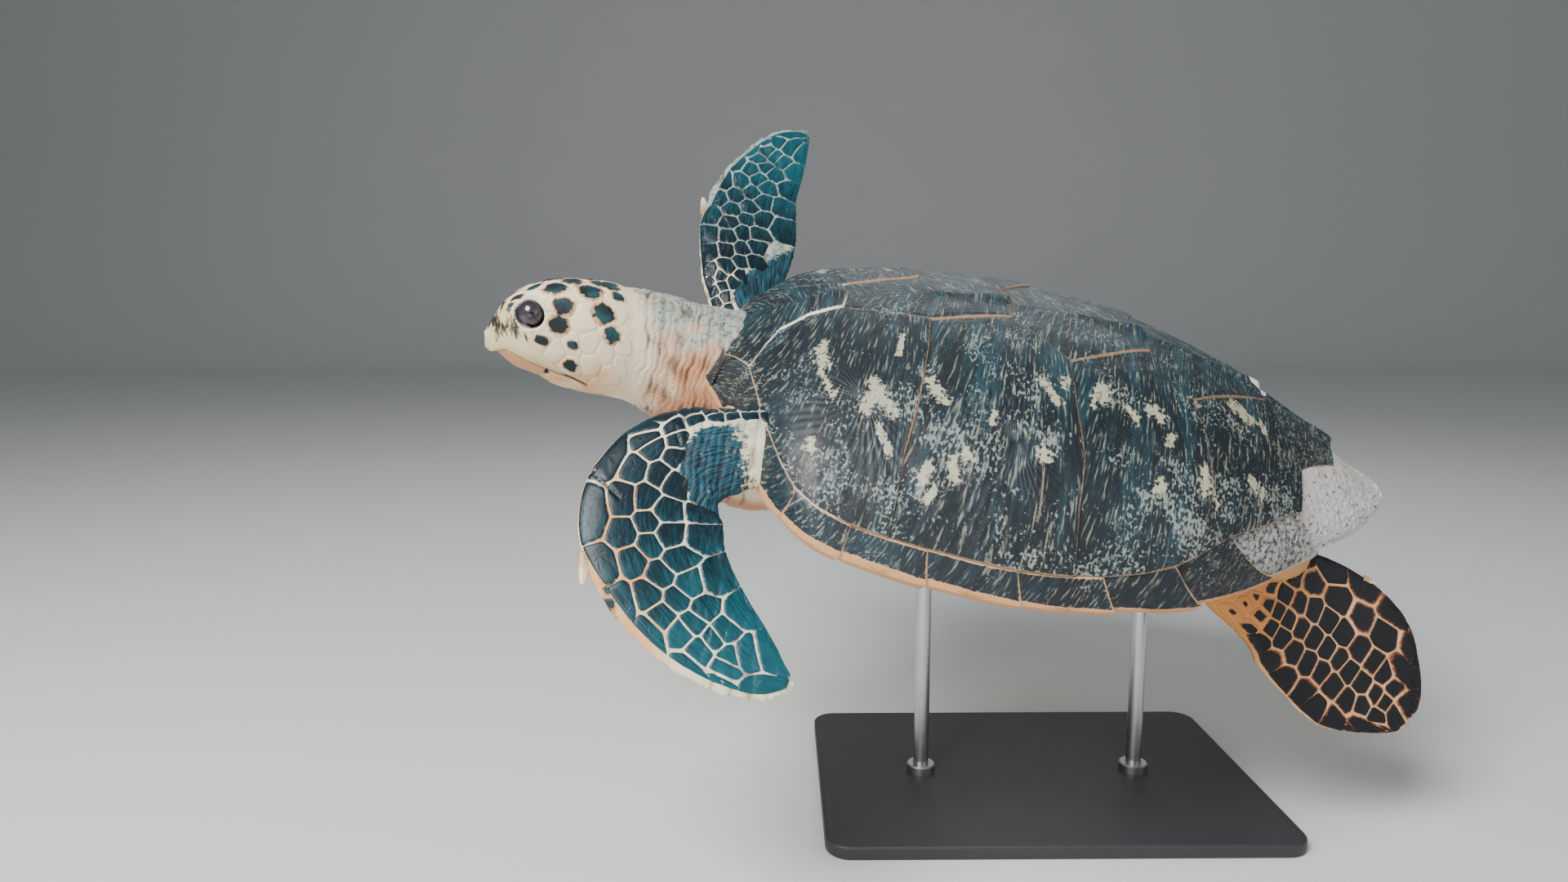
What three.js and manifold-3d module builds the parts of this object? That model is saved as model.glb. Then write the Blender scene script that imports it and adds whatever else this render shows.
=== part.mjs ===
// Hawksbill sea turtle, life size, swimming, held on a plain display stand.
// Units are millimetres. The model frame has +Z up and its origin on the floor.
// The turtle is built in a body frame of its own: x runs to the tail, y to its right side,
// z out of its back, with the origin halfway along the shell. The body frame is then banked.
import * as THREE from 'three';
import { mergeVertices } from 'three/addons/utils/BufferGeometryUtils.js';
import Module from 'manifold-3d';

const wasm = await Module();
wasm.setup();

// Driving dimensions
const GAP = 0.3;
const SHELL_LENGTH = 700;
const SHELL_HALF_WIDTH = 280;
const PLATE = 9;
const LIP = 6;
const CORE_SHARE = 0.9;
const BELLY_DROP = 78;
const PLASTRON_PLATE = 8;
const PLASTRON_TOP = -30;
// Reach of a cutting prism, well past the shell.
const TALL = 400;
const EYE_RADIUS = 14;
const HEAD_YAW = THREE.MathUtils.degToRad(18);
const BANK = THREE.MathUtils.degToRad(19.4);
const TAIL_DOWN = THREE.MathUtils.degToRad(6.3);
const BODY_HEIGHT = 372;
const BASE_LENGTH = 460;
const BASE_WIDTH = 320;
const BASE_HEIGHT = 14;
const ROD_RADIUS = 8;
const ROD_STATIONS = { front: -120, rear: 110 };
const BASE_CORNER = 24;

// ---------------------------------------------------------------- helpers

// Smooth curve through [place, value] pairs that never overshoots between them.
function profile(pairs) {
  const x = pairs.map((pair) => pair[0]);
  const y = pairs.map((pair) => pair[1]);
  const slope = x.slice(1).map((value, i) => (y[i + 1] - y[i]) / (value - x[i]));
  const tangent = x.map((value, i) => {
    if (i === 0) return slope[0];
    if (i === x.length - 1) return slope[i - 1];
    const product = slope[i - 1] * slope[i];
    return product <= 0 ? 0 : (2 * product) / (slope[i - 1] + slope[i]);
  });
  return (place) => {
    const at = THREE.MathUtils.clamp(place, x[0], x[x.length - 1]);
    let i = 0;
    while (i < x.length - 2 && at > x[i + 1]) i += 1;
    const span = x[i + 1] - x[i];
    const u = (at - x[i]) / span;
    const near = (1 + 2 * u) * (1 - u) ** 2 * y[i] + u * (1 - u) ** 2 * span * tangent[i];
    const far = u * u * (3 - 2 * u) * y[i + 1] + u * u * (u - 1) * span * tangent[i + 1];
    return near + far;
  };
}

// Closed body: place(s, angle, r) puts each point of a capped cylinder of rings.
function loft(around, along, place) {
  const source = new THREE.CylinderGeometry(1, 1, 1, around, along);
  source.deleteAttribute('normal');
  source.deleteAttribute('uv');
  const geometry = mergeVertices(source, 1e-4);
  const position = geometry.attributes.position;
  for (let i = 0; i < position.count; i += 1) {
    const s = 0.5 - position.getY(i);
    const r = Math.hypot(position.getX(i), position.getZ(i));
    const angle = Math.atan2(position.getZ(i), position.getX(i));
    const point = place(s, angle, Math.min(r, 1));
    position.setXYZ(i, point.x, point.y, point.z);
  }
  return geometry;
}

function solidOf(geometry) {
  const clean = geometry.clone();
  clean.deleteAttribute('normal');
  clean.deleteAttribute('uv');
  const merged = mergeVertices(clean, 1e-4);
  const vertProperties = new Float32Array(merged.attributes.position.array);
  const triVerts = new Uint32Array(merged.index.array);
  const solid = new wasm.Manifold(new wasm.Mesh({ numProp: 3, vertProperties, triVerts }));
  if (solid.volume() > 0) return solid;
  for (let i = 0; i < triVerts.length; i += 3) {
    [triVerts[i], triVerts[i + 1]] = [triVerts[i + 1], triVerts[i]];
  }
  return new wasm.Manifold(new wasm.Mesh({ numProp: 3, vertProperties, triVerts }));
}

function largestPiece(solid) {
  const pieces = solid.decompose();
  return pieces.reduce((best, piece) => (piece.volume() > best.volume() ? piece : best));
}

function geometryOf(solid) {
  const mesh = largestPiece(solid).getMesh();
  const geometry = new THREE.BufferGeometry();
  geometry.setAttribute('position', new THREE.BufferAttribute(mesh.vertProperties, 3));
  geometry.setIndex(new THREE.BufferAttribute(mesh.triVerts, 1));
  return geometry;
}

// Outline moved inwards by a distance, so that neighbours cut from one plan stay apart.
function inset(points, distance) {
  const area = THREE.ShapeUtils.area(points);
  const ring = area > 0 ? points : points.slice().reverse();
  return ring.map((point, i) => {
    const before = ring[(i + ring.length - 1) % ring.length];
    const after = ring[(i + 1) % ring.length];
    const into = point.clone().sub(before).normalize();
    const out = after.clone().sub(point).normalize();
    const normal = new THREE.Vector2(-into.y - out.y, into.x + out.x).normalize();
    const corner = Math.max(0.35, normal.dot(new THREE.Vector2(-into.y, into.x)));
    return point.clone().addScaledVector(normal, distance / corner);
  });
}

// Upright prism over a plan outline, from one height to another.
function prism(points, low, high) {
  const shape = new THREE.Shape(points);
  const geometry = new THREE.ExtrudeGeometry(shape, { depth: high - low, bevelEnabled: false });
  geometry.translate(0, 0, low);
  return solidOf(geometry);
}

const material = {
  plate: { color: 0x1f303a, roughness: 0.5, metalness: 0 },
  rim: { color: 0x6d5f52, roughness: 0.5, metalness: 0 },
  worn: { color: 0xcfcbc4, roughness: 0.6, metalness: 0 },
  belly: { color: 0xe2d3ae, roughness: 0.55, metalness: 0 },
  skin: { color: 0xdcb592, roughness: 0.6, metalness: 0 },
  flipper: { color: 0x164450, roughness: 0.45, metalness: 0 },
  beak: { color: 0xd9a06a, roughness: 0.4, metalness: 0 },
  eye: { color: 0x0d0b12, roughness: 0.08, metalness: 0 },
  claw: { color: 0xd8c39a, roughness: 0.4, metalness: 0 },
  base: { color: 0x2b2d30, roughness: 0.5, metalness: 0 },
  rod: { color: 0xb9bcc0, roughness: 0.3, metalness: 1 },
};

function named(name, geometry, finish) {
  const mesh = new THREE.Mesh(geometry, new THREE.MeshStandardMaterial(material[finish]));
  mesh.name = name;
  return mesh;
}

// ---------------------------------------------------------------- shell form

const halfWidthShare = profile([
  [0, 0.2], [0.03, 0.36], [0.06, 0.56], [0.09, 0.75], [0.12, 0.87], [0.16, 0.94],
  [0.3, 0.985], [0.4, 1], [0.5, 0.98], [0.6, 0.925], [0.7, 0.78], [0.8, 0.58],
  [0.9, 0.37], [0.96, 0.22], [1, 0.08],
]);
const rimHeight = profile([
  [0, 58], [0.058, 38], [0.112, 24], [0.194, 6], [0.29, -5], [0.45, -13], [1, -12],
]);
const keelHeight = profile([
  [0, 66], [0.02, 86], [0.06, 108], [0.19, 137], [0.35, 147], [0.55, 135],
  [0.76, 91], [0.89, 42], [0.965, 6], [1, -6],
]);
const bellyShare = profile([[0, 0.3], [0.12, 0.75], [0.3, 1], [0.65, 1], [0.85, 0.7], [1, 0.3]]);

const stationX = (t) => (t - 0.5) * SHELL_LENGTH;
const halfWidth = (t) => SHELL_HALF_WIDTH * halfWidthShare(t);

// Height of the shell's back over a point, v being the share of the half width there.
function backHeight(t, v) {
  const rise = Math.max(0, 1 - Math.abs(v) ** 2.2) ** 0.62;
  return rimHeight(t) + (keelHeight(t) - rimHeight(t)) * rise;
}

function underHeight(t, v, plate) {
  const lip = THREE.MathUtils.smoothstep(Math.abs(v), 0.85, 0.91);
  const edge = THREE.MathUtils.smoothstep(1 - Math.abs(v), 0, 0.03);
  const inner = backHeight(t, v) - plate;
  const rim = rimHeight(t) - (LIP + plate - PLATE) * edge;
  return THREE.MathUtils.lerp(inner, Math.min(rim, inner), lip);
}

// The whole carapace as one curved plate with a folded rim, grown in depth and in length.
function carapace(grow, stretch) {
  return solidOf(loft(32, 18, (s, angle, r) => {
    const t = s;
    const v = Math.cos(angle) * r;
    const top = backHeight(t, v) + grow;
    const low = underHeight(t, v, PLATE + grow);
    const side = Math.sin(angle) >= 0 ? 1 : 0;
    const z = r < 0.5 ? (top + low) / 2 : THREE.MathUtils.lerp(low, top, side);
    const edge = Math.abs(Math.sin(angle)) < 1e-3 ? rimHeight(t) : z;
    const x = stationX(t) * (1 + (2 * stretch) / SHELL_LENGTH);
    const spread = halfWidth(t) + (Math.sin(angle) < -1e-3 ? -grow : grow);
    return new THREE.Vector3(x, v * spread, r < 0.5 ? z : edge);
  }));
}

// The flesh inside the shell, with its belly grown downwards by a distance.
function core(grow) {
  return solidOf(loft(20, 11, (s, angle, r) => {
    const t = THREE.MathUtils.lerp(0.035, 0.93, s);
    const v = Math.cos(angle) * CORE_SHARE;
    const hollow = (1 - Math.abs(Math.cos(angle)) ** 3.2) ** 0.9;
    const belly = rimHeight(t) - LIP - BELLY_DROP * bellyShare(t) * hollow;
    const top = backHeight(t, v) - PLATE / 2;
    const wall = rimHeight(t) + 2 * LIP;
    const middle = (top + belly) / 2;
    const z = Math.sin(angle) > 1e-3 ? top : belly - grow;
    const edge = Math.abs(Math.sin(angle)) < 1e-3 ? wall : z;
    const x = stationX(t) + (s < 0.001 ? -grow : 0) + (s > 0.999 ? grow : 0);
    const spread = halfWidth(t) + grow;
    if (r < 0.5) return new THREE.Vector3(x, 0, (backHeight(t, 0) + middle) / 2 - BELLY_DROP / 4);
    return new THREE.Vector3(x, v * spread, edge);
  }));
}

// ---------------------------------------------------------------- shell plates

// Plan points: t runs along the shell, y is a share of its length, v of the half width.
const planY = (t, y) => new THREE.Vector2(stationX(t), y * SHELL_LENGTH);
const planV = (t, v) => new THREE.Vector2(stationX(t), v * halfWidth(t));

// Line where the costals end and the marginals begin, as a share of the half width.
const marginLine = profile([[0.056, 0.62], [0.084, 0.825], [0.129, 0.94], [0.2, 0.962], [0.4, 0.972],
  [0.5, 0.97], [0.58, 0.952], [0.66, 0.905], [0.785, 0.87], [0.9, 0.6]]);
// Where each seam between marginals crosses that line and the shell's edge.
const MARGINAL_SEAMS = [
  { inner: 0.016, outer: 0 }, { inner: 0.023, outer: 0 }, { inner: 0.084, outer: 0.061 },
  { inner: 0.129, outer: 0.111 }, { inner: 0.195, outer: 0.185 }, { inner: 0.285, outer: 0.29 },
  { inner: 0.39, outer: 0.402 }, { inner: 0.492, outer: 0.514 }, { inner: 0.581, outer: 0.627 },
  { inner: 0.66, outer: 0.747 }, { inner: 0.785, outer: 0.833 }, { inner: 0.88, outer: 0.945 },
];
const OUTSIDE = 1.08;
// The rear marginals step in at the front, which leaves their back corners as blunt teeth.
const LAST_SMOOTH = 7;
const tooth = (index) => 1 - 0.016 * Math.max(0, index - LAST_SMOOTH);

const frontCorner = [planY(0.016, 0.034), planY(0.023, 0.072), planY(0.056, 0.131)];
const vertebralCorner = {
  firstRear: planY(0.175, 0.045), second: planY(0.288, 0.085), secondRear: planY(0.4, 0.055),
  third: planY(0.463, 0.142), thirdRear: planY(0.594, 0.06), fourth: planY(0.63, 0.15),
  fourthRear: planY(0.775, 0.045), fifth: planY(0.795, 0.16), fifthRear: planY(0.88, 0.085),
};
const costalSeams = [
  [planY(0.056, 0.131), planY(0.074, 0.107), planY(0.092, 0.08), planY(0.13, 0.058), planY(0.175, 0.045)],
  [planY(0.288, 0.085), planY(0.28, 0.16), planY(0.268, 0.24), planY(0.25, 0.31), planV(0.238, 0.962)],
  [planY(0.463, 0.142), planY(0.462, 0.22), planY(0.466, 0.29), planY(0.457, 0.34), planV(0.455, 0.971)],
  [planY(0.63, 0.15), planY(0.637, 0.22), planY(0.632, 0.28), planY(0.617, 0.32), planV(0.611, 0.935)],
];
const CENTRE_ENDS = [0.016, 0.182, 0.408, 0.602, 0.782, 0.912];

const mirrored = (points) => points.map((p) => new THREE.Vector2(p.x, -p.y)).reverse();
const symmetric = (points) => points.concat(mirrored(points.filter((p) => Math.abs(p.y) > 1)));

function innerPoint(t) {
  if (t < 0.02) return frontCorner[0];
  if (t < 0.05) return frontCorner[1];
  if (t > 0.87) return vertebralCorner.fifthRear;
  return planV(t, marginLine(t));
}

function marginStretch(from, to) {
  const seams = MARGINAL_SEAMS.map((seam) => seam.inner).concat([0.238, 0.455, 0.611]);
  const stations = seams.concat([0.071, 0.106, 0.16, 0.34, 0.54, 0.72]).sort((a, b) => a - b);
  return stations.filter((t) => t > from && t < to).map((t) => planV(t, marginLine(t)));
}

function marginalOutline(index) {
  const before = MARGINAL_SEAMS[index - 1];
  const after = MARGINAL_SEAMS[index];
  const inner = [innerPoint(before.inner)];
  if (index === 2) inner.push(frontCorner[2]);
  inner.push(...marginStretch(Math.max(before.inner, 0.06), after.inner));
  if (index === 11) inner.push(vertebralCorner.fifth);
  inner.push(innerPoint(after.inner));
  if (index === 1) return inner.concat([planY(-0.02, 0.078), planY(-0.02, 0.036)]);
  const first = index === 2 ? planY(-0.02, 0.078) : planV(before.outer, tooth(index));
  const flank = planV(THREE.MathUtils.lerp(before.outer, after.outer, 0.3), OUTSIDE);
  const last = [planV(after.outer, tooth(index + 1)), planV(after.outer, OUTSIDE)];
  return inner.concat([...last, flank, first]);
}

function vertebralOutlines() {
  const c = vertebralCorner;
  const centre = CENTRE_ENDS.map((t) => planY(t, 0));
  const sides = [
    [...frontCorner, ...costalSeams[0].slice(1)],
    [c.firstRear, c.second, c.secondRear],
    [c.secondRear, c.third, c.thirdRear],
    [c.thirdRear, c.fourth, c.fourthRear],
    [c.fourthRear, c.fifth, c.fifthRear],
  ];
  return sides.map((side, i) => symmetric([centre[i], ...side, centre[i + 1]]));
}

function costalOutlines() {
  const c = vertebralCorner;
  const line = (from, to) => [...new Set([from, to])].map((t) => planV(t, marginLine(t)));
  const run = (from, to) => [line(from, from)[0], ...marginStretch(from, to), line(to, to)[0]];
  const back = (seam) => seam.slice().reverse();
  const first = [frontCorner[2], ...run(0.071, 0.238).slice(0, -1)];
  const second = run(0.238, 0.455).slice(1, -1);
  const third = run(0.455, 0.611).slice(1, -1);
  const fourth = run(0.611, 0.785).slice(1);
  return [
    [...first, ...back(costalSeams[1]), ...back(costalSeams[0].slice(1))],
    [...costalSeams[1], ...second, ...back(costalSeams[2]), c.secondRear],
    [...costalSeams[2], ...third, ...back(costalSeams[3]), c.thirdRear],
    [...costalSeams[3], ...fourth, c.fifth, c.fourthRear],
  ];
}

function shellPlates(plate) {
  const group = new THREE.Group();
  const cut = (name, outline, finish) => {
    const solid = prism(inset(outline, GAP / 2), -TALL, TALL).intersect(plate);
    group.add(named(name, geometryOf(solid), finish));
  };
  const flip = (outline, side) => (side > 0 ? outline : mirrored(outline));
  cut('nuchal', symmetric([planY(-0.02, 0.036), frontCorner[0]]), 'plate');
  vertebralOutlines().forEach((outline, i) => cut(`vertebral_${i + 1}`, outline, 'plate'));
  [['left', -1], ['right', 1]].forEach(([label, side]) => {
    costalOutlines().forEach((outline, i) => cut(`costal_${label}_${i + 1}`, flip(outline, side), 'plate'));
    for (let i = 1; i <= 11; i += 1) {
      cut(`marginal_${label}_${i}`, flip(marginalOutline(i), side), i < 10 ? 'rim' : 'worn');
    }
    const tail = [planY(0.912, 0), vertebralCorner.fifthRear, planV(0.945, tooth(12)),
      planV(0.955, OUTSIDE), planY(1.02, 0.05), planY(1.02, 0.03), planY(0.985, 0)];
    cut(`supracaudal_${label}`, flip(tail, side), 'worn');
  });
  return group;
}

// ---------------------------------------------------------------- limbs

// A limb lies about a curve in its own plane: a runs down the blade, b to its leading edge.
const FRONT_LEFT = {
  root: new THREE.Vector3(-321, -190, 49),
  along: new THREE.Vector3(0.386, -0.738, -0.553), lead: new THREE.Vector3(-0.906, -0.415, -0.08),
  line: [[4, -62], [-2, -20], [2, 38], [32, 70], [78, 78], [124, 67], [164, 45], [192, 22], [206, 3]],
};
const FRONT_RIGHT = {
  root: new THREE.Vector3(-321, 190, 49),
  along: new THREE.Vector3(0.203, 0.819, 0.537), lead: new THREE.Vector3(-0.973, 0.109, 0.202),
  line: [[-66, -52], [-30, -14], [20, 12], [66, 24], [112, 33], [158, 39], [204, 34], [250, 24], [284, 8]],
};
const REAR_LEFT = {
  root: new THREE.Vector3(196, -135, -52),
  along: new THREE.Vector3(0.86, -0.2, -0.47), lead: new THREE.Vector3(-0.42, -0.5, -0.6),
  line: [[-60, 12], [-20, 20], [30, 11], [80, 8], [130, 12], [172, 20], [200, 28]],
};
const REAR_RIGHT = {
  root: new THREE.Vector3(196, 135, -52),
  along: new THREE.Vector3(0.9, 0.3, -0.3), lead: new THREE.Vector3(-0.2, 0.8, -0.3),
  line: [[-60, -8], [-20, 4], [30, 9], [80, 9], [130, 12], [172, 15], [196, 18]],
};
const FRONT_BLADE = {
  half: profile([[0, 36], [0.18, 42], [0.34, 53], [0.48, 60], [0.62, 54], [0.78, 43], [0.92, 26], [1, 5]]),
  thick: profile([[0, 24], [0.2, 21], [0.4, 14], [0.6, 9], [0.85, 5], [1, 1.5]]),
};
const REAR_BLADE = {
  half: profile([
    [0, 32], [0.16, 36], [0.235, 42], [0.37, 63], [0.485, 71], [0.62, 75], [0.705, 74], [0.79, 66],
    [0.865, 52], [0.92, 39], [0.96, 27], [1, 9],
  ]),
  thick: profile([[0, 22], [0.25, 17], [0.5, 9], [0.8, 5], [1, 1.5]]),
};

function limbFrame(limb) {
  const along = limb.along.clone().normalize();
  const lead = limb.lead.clone().addScaledVector(along, -limb.lead.dot(along)).normalize();
  const out = new THREE.Vector3().crossVectors(lead, along);
  if (out.z < 0) out.negate();
  const place = (a, b, c) => limb.root.clone().addScaledVector(along, a).addScaledVector(lead, b)
    .addScaledVector(out, c);
  const curve = new THREE.CatmullRomCurve3(limb.line.map(([a, b]) => new THREE.Vector3(a, b, 0)));
  return { place, curve };
}

function flipper(limb, blade, grow) {
  const { place, curve } = limbFrame(limb);
  return loft(12, 11, (s, angle, r) => {
    const centre = curve.getPointAt(s);
    const ahead = curve.getTangentAt(s);
    const across = Math.cos(angle) * r * (blade.half(s) + grow);
    const fullness = 0.75 + 0.25 * Math.cos(angle);
    const up = Math.sin(angle) * r * (blade.thick(s) * fullness + grow);
    const side = new THREE.Vector2(-ahead.y, ahead.x);
    return place(centre.x + side.x * across, centre.y + side.y * across, up);
  });
}

// A flat claw that lies along one edge of a limb.
function claw(limb, blade, { at, size, edge }) {
  const { place, curve } = limbFrame(limb);
  const centre = curve.getPointAt(at);
  const ahead = curve.getTangentAt(at);
  const half = blade.half(at);
  return loft(8, 4, (u, angle, r) => {
    const radius = size * 0.3 * Math.sqrt(1 - 0.93 * u);
    const out = edge * (half - size * (0.2 - 0.3 * u) + Math.cos(angle) * r * radius);
    const sweep = size * 1.1 * u;
    return place(
      centre.x - ahead.y * out + ahead.x * sweep,
      centre.y + ahead.x * out + ahead.y * sweep,
      Math.sin(angle) * r * radius * 0.55,
    );
  });
}

// ---------------------------------------------------------------- head and neck

// The head runs forwards from the nape; a is the distance in front of it.
const NAPE = new THREE.Vector3(-430, -8, 0);
const headForward = new THREE.Vector3(-Math.cos(HEAD_YAW), -Math.sin(HEAD_YAW), 0);
const headLeft = new THREE.Vector3(Math.sin(HEAD_YAW), -Math.cos(HEAD_YAW), 0);
const HEAD_FRONT = 137;
const headCentre = profile([
  [-14, 56], [0, 61], [21, 68], [48, 72.5], [74, 76.5], [96, 80], [120, 79], [137, 74],
]);
const headHalfHeight = profile([
  [-14, 60], [0, 58], [48, 56], [74, 52], [96, 41], [109, 36], [120, 27], [130, 14], [137, 4],
]);
const headHalfWidth = profile([
  [-14, 45], [0, 45], [21, 45], [48, 42], [74, 37], [96, 32], [109, 24], [120, 16], [137, 4],
]);

function headPlace(a, left, z) {
  return NAPE.clone().addScaledVector(headForward, a).addScaledVector(headLeft, left).setZ(z);
}

// Head and neck sections are rounded squares of this power.
const SECTION_POWER = 2.3;

function squareness(angle) {
  const wide = Math.abs(Math.cos(angle)) ** SECTION_POWER;
  const tall = Math.abs(Math.sin(angle)) ** SECTION_POWER;
  return (wide + tall) ** (-1 / SECTION_POWER);
}

function headForm() {
  return loft(18, 11, (s, angle, r) => {
    const a = HEAD_FRONT * (1 - (1 - s) ** 1.4);
    const full = squareness(angle) * r;
    const left = Math.cos(angle) * full * headHalfWidth(a);
    const z = headCentre(a) + Math.sin(angle) * full * headHalfHeight(a);
    return headPlace(a, left, z);
  });
}

function neckForm(grow = 0) {
  const nape = headPlace(-GAP, 0, headCentre(0));
  const curve = new THREE.CatmullRomCurve3([
    nape, new THREE.Vector3(-398, -2, 50), new THREE.Vector3(-360, 0, 38), new THREE.Vector3(-310, 0, 32),
    new THREE.Vector3(-250, 0, 28),
  ]);
  const halfHeight = profile([[0, 58], [0.25, 65], [0.5, 68], [0.75, 68], [1, 60]]);
  const halfSpan = profile([[0, 45], [0.25, 49], [0.5, 60], [0.75, 84], [1, 110]]);
  return loft(18, 6, (s, angle, r) => {
    const centre = curve.getPointAt(s);
    const yaw = HEAD_YAW * (1 - THREE.MathUtils.smoothstep(s, 0, 0.35));
    const full = squareness(angle) * r;
    const left = Math.cos(angle) * full * (halfSpan(s) + grow);
    return new THREE.Vector3(
      centre.x + Math.sin(yaw) * left,
      centre.y - Math.cos(yaw) * left,
      centre.z + Math.sin(angle) * full * (halfHeight(s) + grow),
    );
  });
}

// Side outlines, as distance before the nape and height, that part the beak and jaw.
const MOUTH_LINE = [[43, 33], [60, 43], [97, 57], [127, 66], [150, 66]];
const UPPER_HORN = [[62, 50], [96, 66], [110, 84], [118, 102], [150, 104]];
const LOWER_HORN = [[84, 46], [92, 30], [110, 20], [150, 20]];

function sidePrism(points) {
  const flat = inset(points.map(([a, z]) => new THREE.Vector2(a, z)), GAP / 2);
  const shape = new THREE.Shape(flat);
  const geometry = new THREE.ExtrudeGeometry(shape, { depth: 160, bevelEnabled: false });
  const position = geometry.attributes.position;
  for (let i = 0; i < position.count; i += 1) {
    const point = headPlace(position.getX(i), position.getZ(i) - 80, position.getY(i));
    position.setXYZ(i, point.x, point.y, point.z);
  }
  return solidOf(geometry);
}

const EYE_PLACE = { a: 96, left: 17, z: 103 };

function eyeForm(side, grow) {
  const geometry = new THREE.SphereGeometry(EYE_RADIUS + grow, 12, 8);
  const centre = headPlace(EYE_PLACE.a, side * EYE_PLACE.left, EYE_PLACE.z);
  geometry.translate(centre.x, centre.y, centre.z);
  return geometry;
}

function headParts() {
  const eyes = ['left', 'right'].map((label) => ({ label, side: label === 'left' ? 1 : -1 }));
  let form = solidOf(headForm());
  eyes.forEach(({ side }) => {
    form = form.subtract(solidOf(eyeForm(side, GAP)));
  });
  const back = MOUTH_LINE.slice().reverse();
  const upperHorn = sidePrism([...MOUTH_LINE.slice(1), ...UPPER_HORN.slice().reverse()]);
  const jawAndHorn = [...MOUTH_LINE, [150, -40], [30, -40], [30, 10]];
  const lowerHorn = sidePrism([...LOWER_HORN, ...back.slice(0, 2), [97, 57]]);
  const upper = form.intersect(upperHorn);
  const lower = form.intersect(lowerHorn);
  const lowerGap = [[83, 46], [92, 29], [110, 19], [151, 19]];
  const lowerWide = sidePrism([...lowerGap, ...back.slice(0, 2), [97, 57.6]]);
  const jaw = form.intersect(sidePrism(jawAndHorn)).subtract(lowerWide);
  const upperWide = sidePrism([...MOUTH_LINE.slice(1), [151, 105], ...UPPER_HORN.slice(0, 4).reverse()]);
  const jawWide = sidePrism(jawAndHorn.map(([a, z]) => [a - 0.2, z + 0.3]));
  const skull = form.subtract(upperWide).subtract(jawWide);
  const group = new THREE.Group();
  group.add(named('head', geometryOf(skull), 'skin'));
  group.add(named('upper_beak', geometryOf(upper), 'beak'));
  group.add(named('lower_beak', geometryOf(lower), 'beak'));
  group.add(named('lower_jaw', geometryOf(jaw), 'skin'));
  eyes.forEach(({ label, side }) => {
    group.add(named(`eye_${label}`, eyeForm(side, 0), 'eye'));
  });
  return group;
}

// ---------------------------------------------------------------- trunk, tail and stand

function plastronOutline(grow) {
  const half = profile([[0.1, 0.1], [0.2, 0.17], [0.4, 0.185], [0.6, 0.175], [0.75, 0.13], [0.86, 0.05]]);
  const stations = [0.1, 0.14, 0.2, 0.3, 0.4, 0.5, 0.6, 0.68, 0.76, 0.82, 0.86];
  const side = stations.map((t) => planY(t, half(t)));
  return inset(side.concat(mirrored(side)), -grow);
}

function plastron(grow) {
  const layer = core(PLASTRON_PLATE + GAP + grow).subtract(core(GAP - grow));
  return layer.intersect(prism(plastronOutline(grow), -TALL, PLASTRON_TOP + grow));
}

const TAIL_RADIUS = { root: 34, tip: 5 };

function tailForm() {
  const curve = new THREE.CatmullRomCurve3([
    new THREE.Vector3(230, 0, -34), new THREE.Vector3(290, 0, -44), new THREE.Vector3(338, 0, -52),
  ]);
  return loft(10, 5, (s, angle, r) => {
    const centre = curve.getPointAt(s);
    const radius = r * THREE.MathUtils.lerp(TAIL_RADIUS.root, TAIL_RADIUS.tip, s ** 0.8);
    return centre.add(new THREE.Vector3(0, Math.cos(angle) * radius, Math.sin(angle) * radius * 0.75));
  });
}

// Where a claw sits along its flipper, its length, and 1 for the inner edge or -1 for the outer.
const FRONT_CLAW = { at: 0.52, size: 24, edge: 1 };
const REAR_CLAW = { at: 0.56, size: 14, edge: -1 };

const LIMBS = [
  { end: 'front', side: 'left', limb: FRONT_LEFT, blade: FRONT_BLADE, nail: FRONT_CLAW },
  { end: 'front', side: 'right', limb: FRONT_RIGHT, blade: FRONT_BLADE, nail: FRONT_CLAW },
  { end: 'rear', side: 'left', limb: REAR_LEFT, blade: REAR_BLADE, nail: REAR_CLAW },
  { end: 'rear', side: 'right', limb: REAR_RIGHT, blade: REAR_BLADE, nail: REAR_CLAW },
];

function turtle() {
  const body = new THREE.Group();
  const plate = carapace(0, 0);
  const cover = [-2, 0, 2].map((k) => carapace(2 * GAP, k * GAP)).reduce((a, b) => a.add(b));
  const blocked = cover.add(core(GAP)).add(plastron(GAP));
  body.add(shellPlates(plate));
  body.add(named('trunk', geometryOf(core(0).subtract(cover)), 'skin'));
  body.add(named('plastron', geometryOf(plastron(0)), 'belly'));
  const neck = solidOf(neckForm());
  body.add(named('neck', geometryOf(neck.subtract(blocked)), 'skin'));
  body.add(headParts());
  body.add(named('tail', geometryOf(solidOf(tailForm()).subtract(blocked)), 'skin'));
  LIMBS.forEach(({ end, side, limb, blade, nail }) => {
    const wide = solidOf(flipper(limb, blade, GAP));
    const form = solidOf(flipper(limb, blade, 0)).subtract(blocked).subtract(solidOf(neckForm(GAP)));
    const horn = solidOf(claw(limb, blade, nail)).subtract(wide);
    body.add(named(`${end}_flipper_${side}`, geometryOf(form), 'flipper'));
    body.add(named(`claw_${end}_${side}`, geometryOf(horn), 'claw'));
  });
  return body;
}

function rodGeometry(x, blocked) {
  const length = BODY_HEIGHT - BASE_HEIGHT;
  const geometry = new THREE.CylinderGeometry(ROD_RADIUS, ROD_RADIUS, length, 20);
  geometry.rotateX(Math.PI / 2);
  geometry.translate(x, 0, BASE_HEIGHT + length / 2);
  return geometryOf(solidOf(geometry).subtract(blocked));
}

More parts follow.
